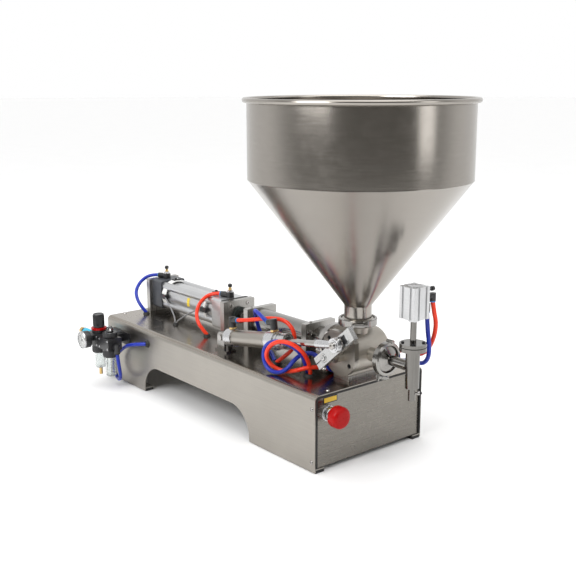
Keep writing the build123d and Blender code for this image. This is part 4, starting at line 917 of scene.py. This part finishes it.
# Ribbed adjusting knob with a ring of fine grips and a raised cap.
unit_y = -182
regulator_x = -328
knob = Shape()
knob.lathe([(0, -17.5), (5, -17.5), (5, 0), (12.2, 0), (13, 0.8), (13, 3.2), (12.2, 3.8), (13, 4.6, 1.1),
            (13, 27.5, 1.1), (12.0, 28.6), (12.4, 29.4), (11.4, 31), (8, 31), (7.4, 30.2), (0, 30.2)],
           (regulator_x, unit_y, 133.5), steps=60, soft=0.2)
knob = knob.done("knob_ribbed", [black_plastic], "black_plastic", "pressure_knob", 25)
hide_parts("regulator_knob")

# Gauge: deep black case, bright bezel, white dial with its marks, pointer and glass.
# Every third mark is long and thick, and the last seven are red.
gauge_z = 110
gauge_back = (regulator_x, -208, gauge_z)
gauge_axis = (regulator_x, 0, gauge_z)
gauge = Shape()
gauge.lathe([(0, -9), (6, -9), (6, 0), (16, 0), (19.4, 2), (19.4, 16.4), (17.6, 16.4), (17.6, 16), (0, 16)],
            gauge_back, near_side, 96)
gauge.lathe([(17.4, 16), (19.9, 16), (20, 16.6), (20, 19.2), (19.2, 20), (17.9, 20), (17.4, 19.2),
             (17.4, 16)], gauge_back, near_side, 96, material=1)
gauge.lathe([(0, 15.6), (17.5, 15.6), (17.5, 16.6), (0, 16.6)], gauge_back, near_side, 96, material=2)
for k in range(28):
    inner, half = (12.2, 0.18) if k % 3 else (10.8, 0.35)
    gauge.block((regulator_x - half, -224.8, gauge_z + inner), (regulator_x + half, -224.5, gauge_z + 14.4),
                0.05, material=3 if k < 21 else 4,
                turn=Matrix.Rotation(math.radians(-135 + 10 * k), 3, "Y"), about=gauge_axis)
gauge.block((regulator_x - 0.5, -225.6, gauge_z - 4), (regulator_x + 0.5, -225.2, gauge_z + 12.5), 0.15,
            material=3, turn=Matrix.Rotation(math.radians(-38), 3, "Y"), about=gauge_axis)
gauge.lathe([(0, 16.6), (2.4, 16.6), (2.0, 18.2), (0, 18.4)], gauge_back, near_side, 32, material=3)
gauge.lathe([(0, 18.6), (17.6, 18.6), (17.6, 19.2), (0, 19.4)], gauge_back, near_side, 64, material=5, soft=0)
gauge = gauge.done("gauge_detailed", [black_plastic, bright_cap, white_plastic, black_plastic, red_plastic,
                                      clear_glass], "black_plastic")
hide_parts("frl_gauge")

# Ribs round the bowl rings, bonnet step lines, and the screws of the two bodies.
for number, (x, top) in enumerate(((regulator_x, 129), (-278, 132))):
    ribs = Shape()
    ribs.lathe([(17.0, 0), (17.6, 0.4, 0.6), (17.6, 11.6, 0.6), (17.0, 12), (17.0, 0)], (x, unit_y, 78),
               steps=72, soft=0)
    ribs.lathe([(15.2, 0), (16.4, 0.3, 0.5), (16.4, top - 122.8, 0.5), (15.2, top - 122.4), (15.2, 0)],
               (x, unit_y, 121.6), steps=72, soft=0)
    for sx in (-1, 1):
        for z in (98, 116):
            ribs.lathe([(0, 0), (2.4, 0), (2.4, 1.0), (1.2, 1.0, "hex"), (1.2, 0.3, "hex"), (0, 0.3)],
                       (x + 18 * sx, -199, z), near_side, 48, material=1)
    ribs.done(f"unit_ribs_{number}", [black_plastic, bright_cap], "black_plastic")

# Sleeve of the hand slide valve: fine grips, and a dark ring at its end.
sleeve_seat = (-368, unit_y, 108)
rearward = (-1, 0, 0)
sleeve = Shape()
sleeve.lathe([(6.1, 0), (8.6, 0), (9, 0.6), (9, 3), (8.5, 3.4), (9, 3.8, 0.4), (9, 12, 0.4), (8.5, 12.4),
              (9, 12.8), (9, 26.4), (6.1, 26.4), (6.1, 0)], sleeve_seat, rearward, 72, soft=0.15)
sleeve.lathe([(6.1, 26.4), (8.8, 26.4), (8.8, 31), (8.2, 32), (6.1, 32), (6.1, 26.4)], sleeve_seat,
             rearward, 72, material=1)
sleeve = sleeve.done("sleeve_turned", [cyan_sleeve, black_plastic], "blue_sleeve", "shutoff_sleeve")
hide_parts("slide_sleeve")
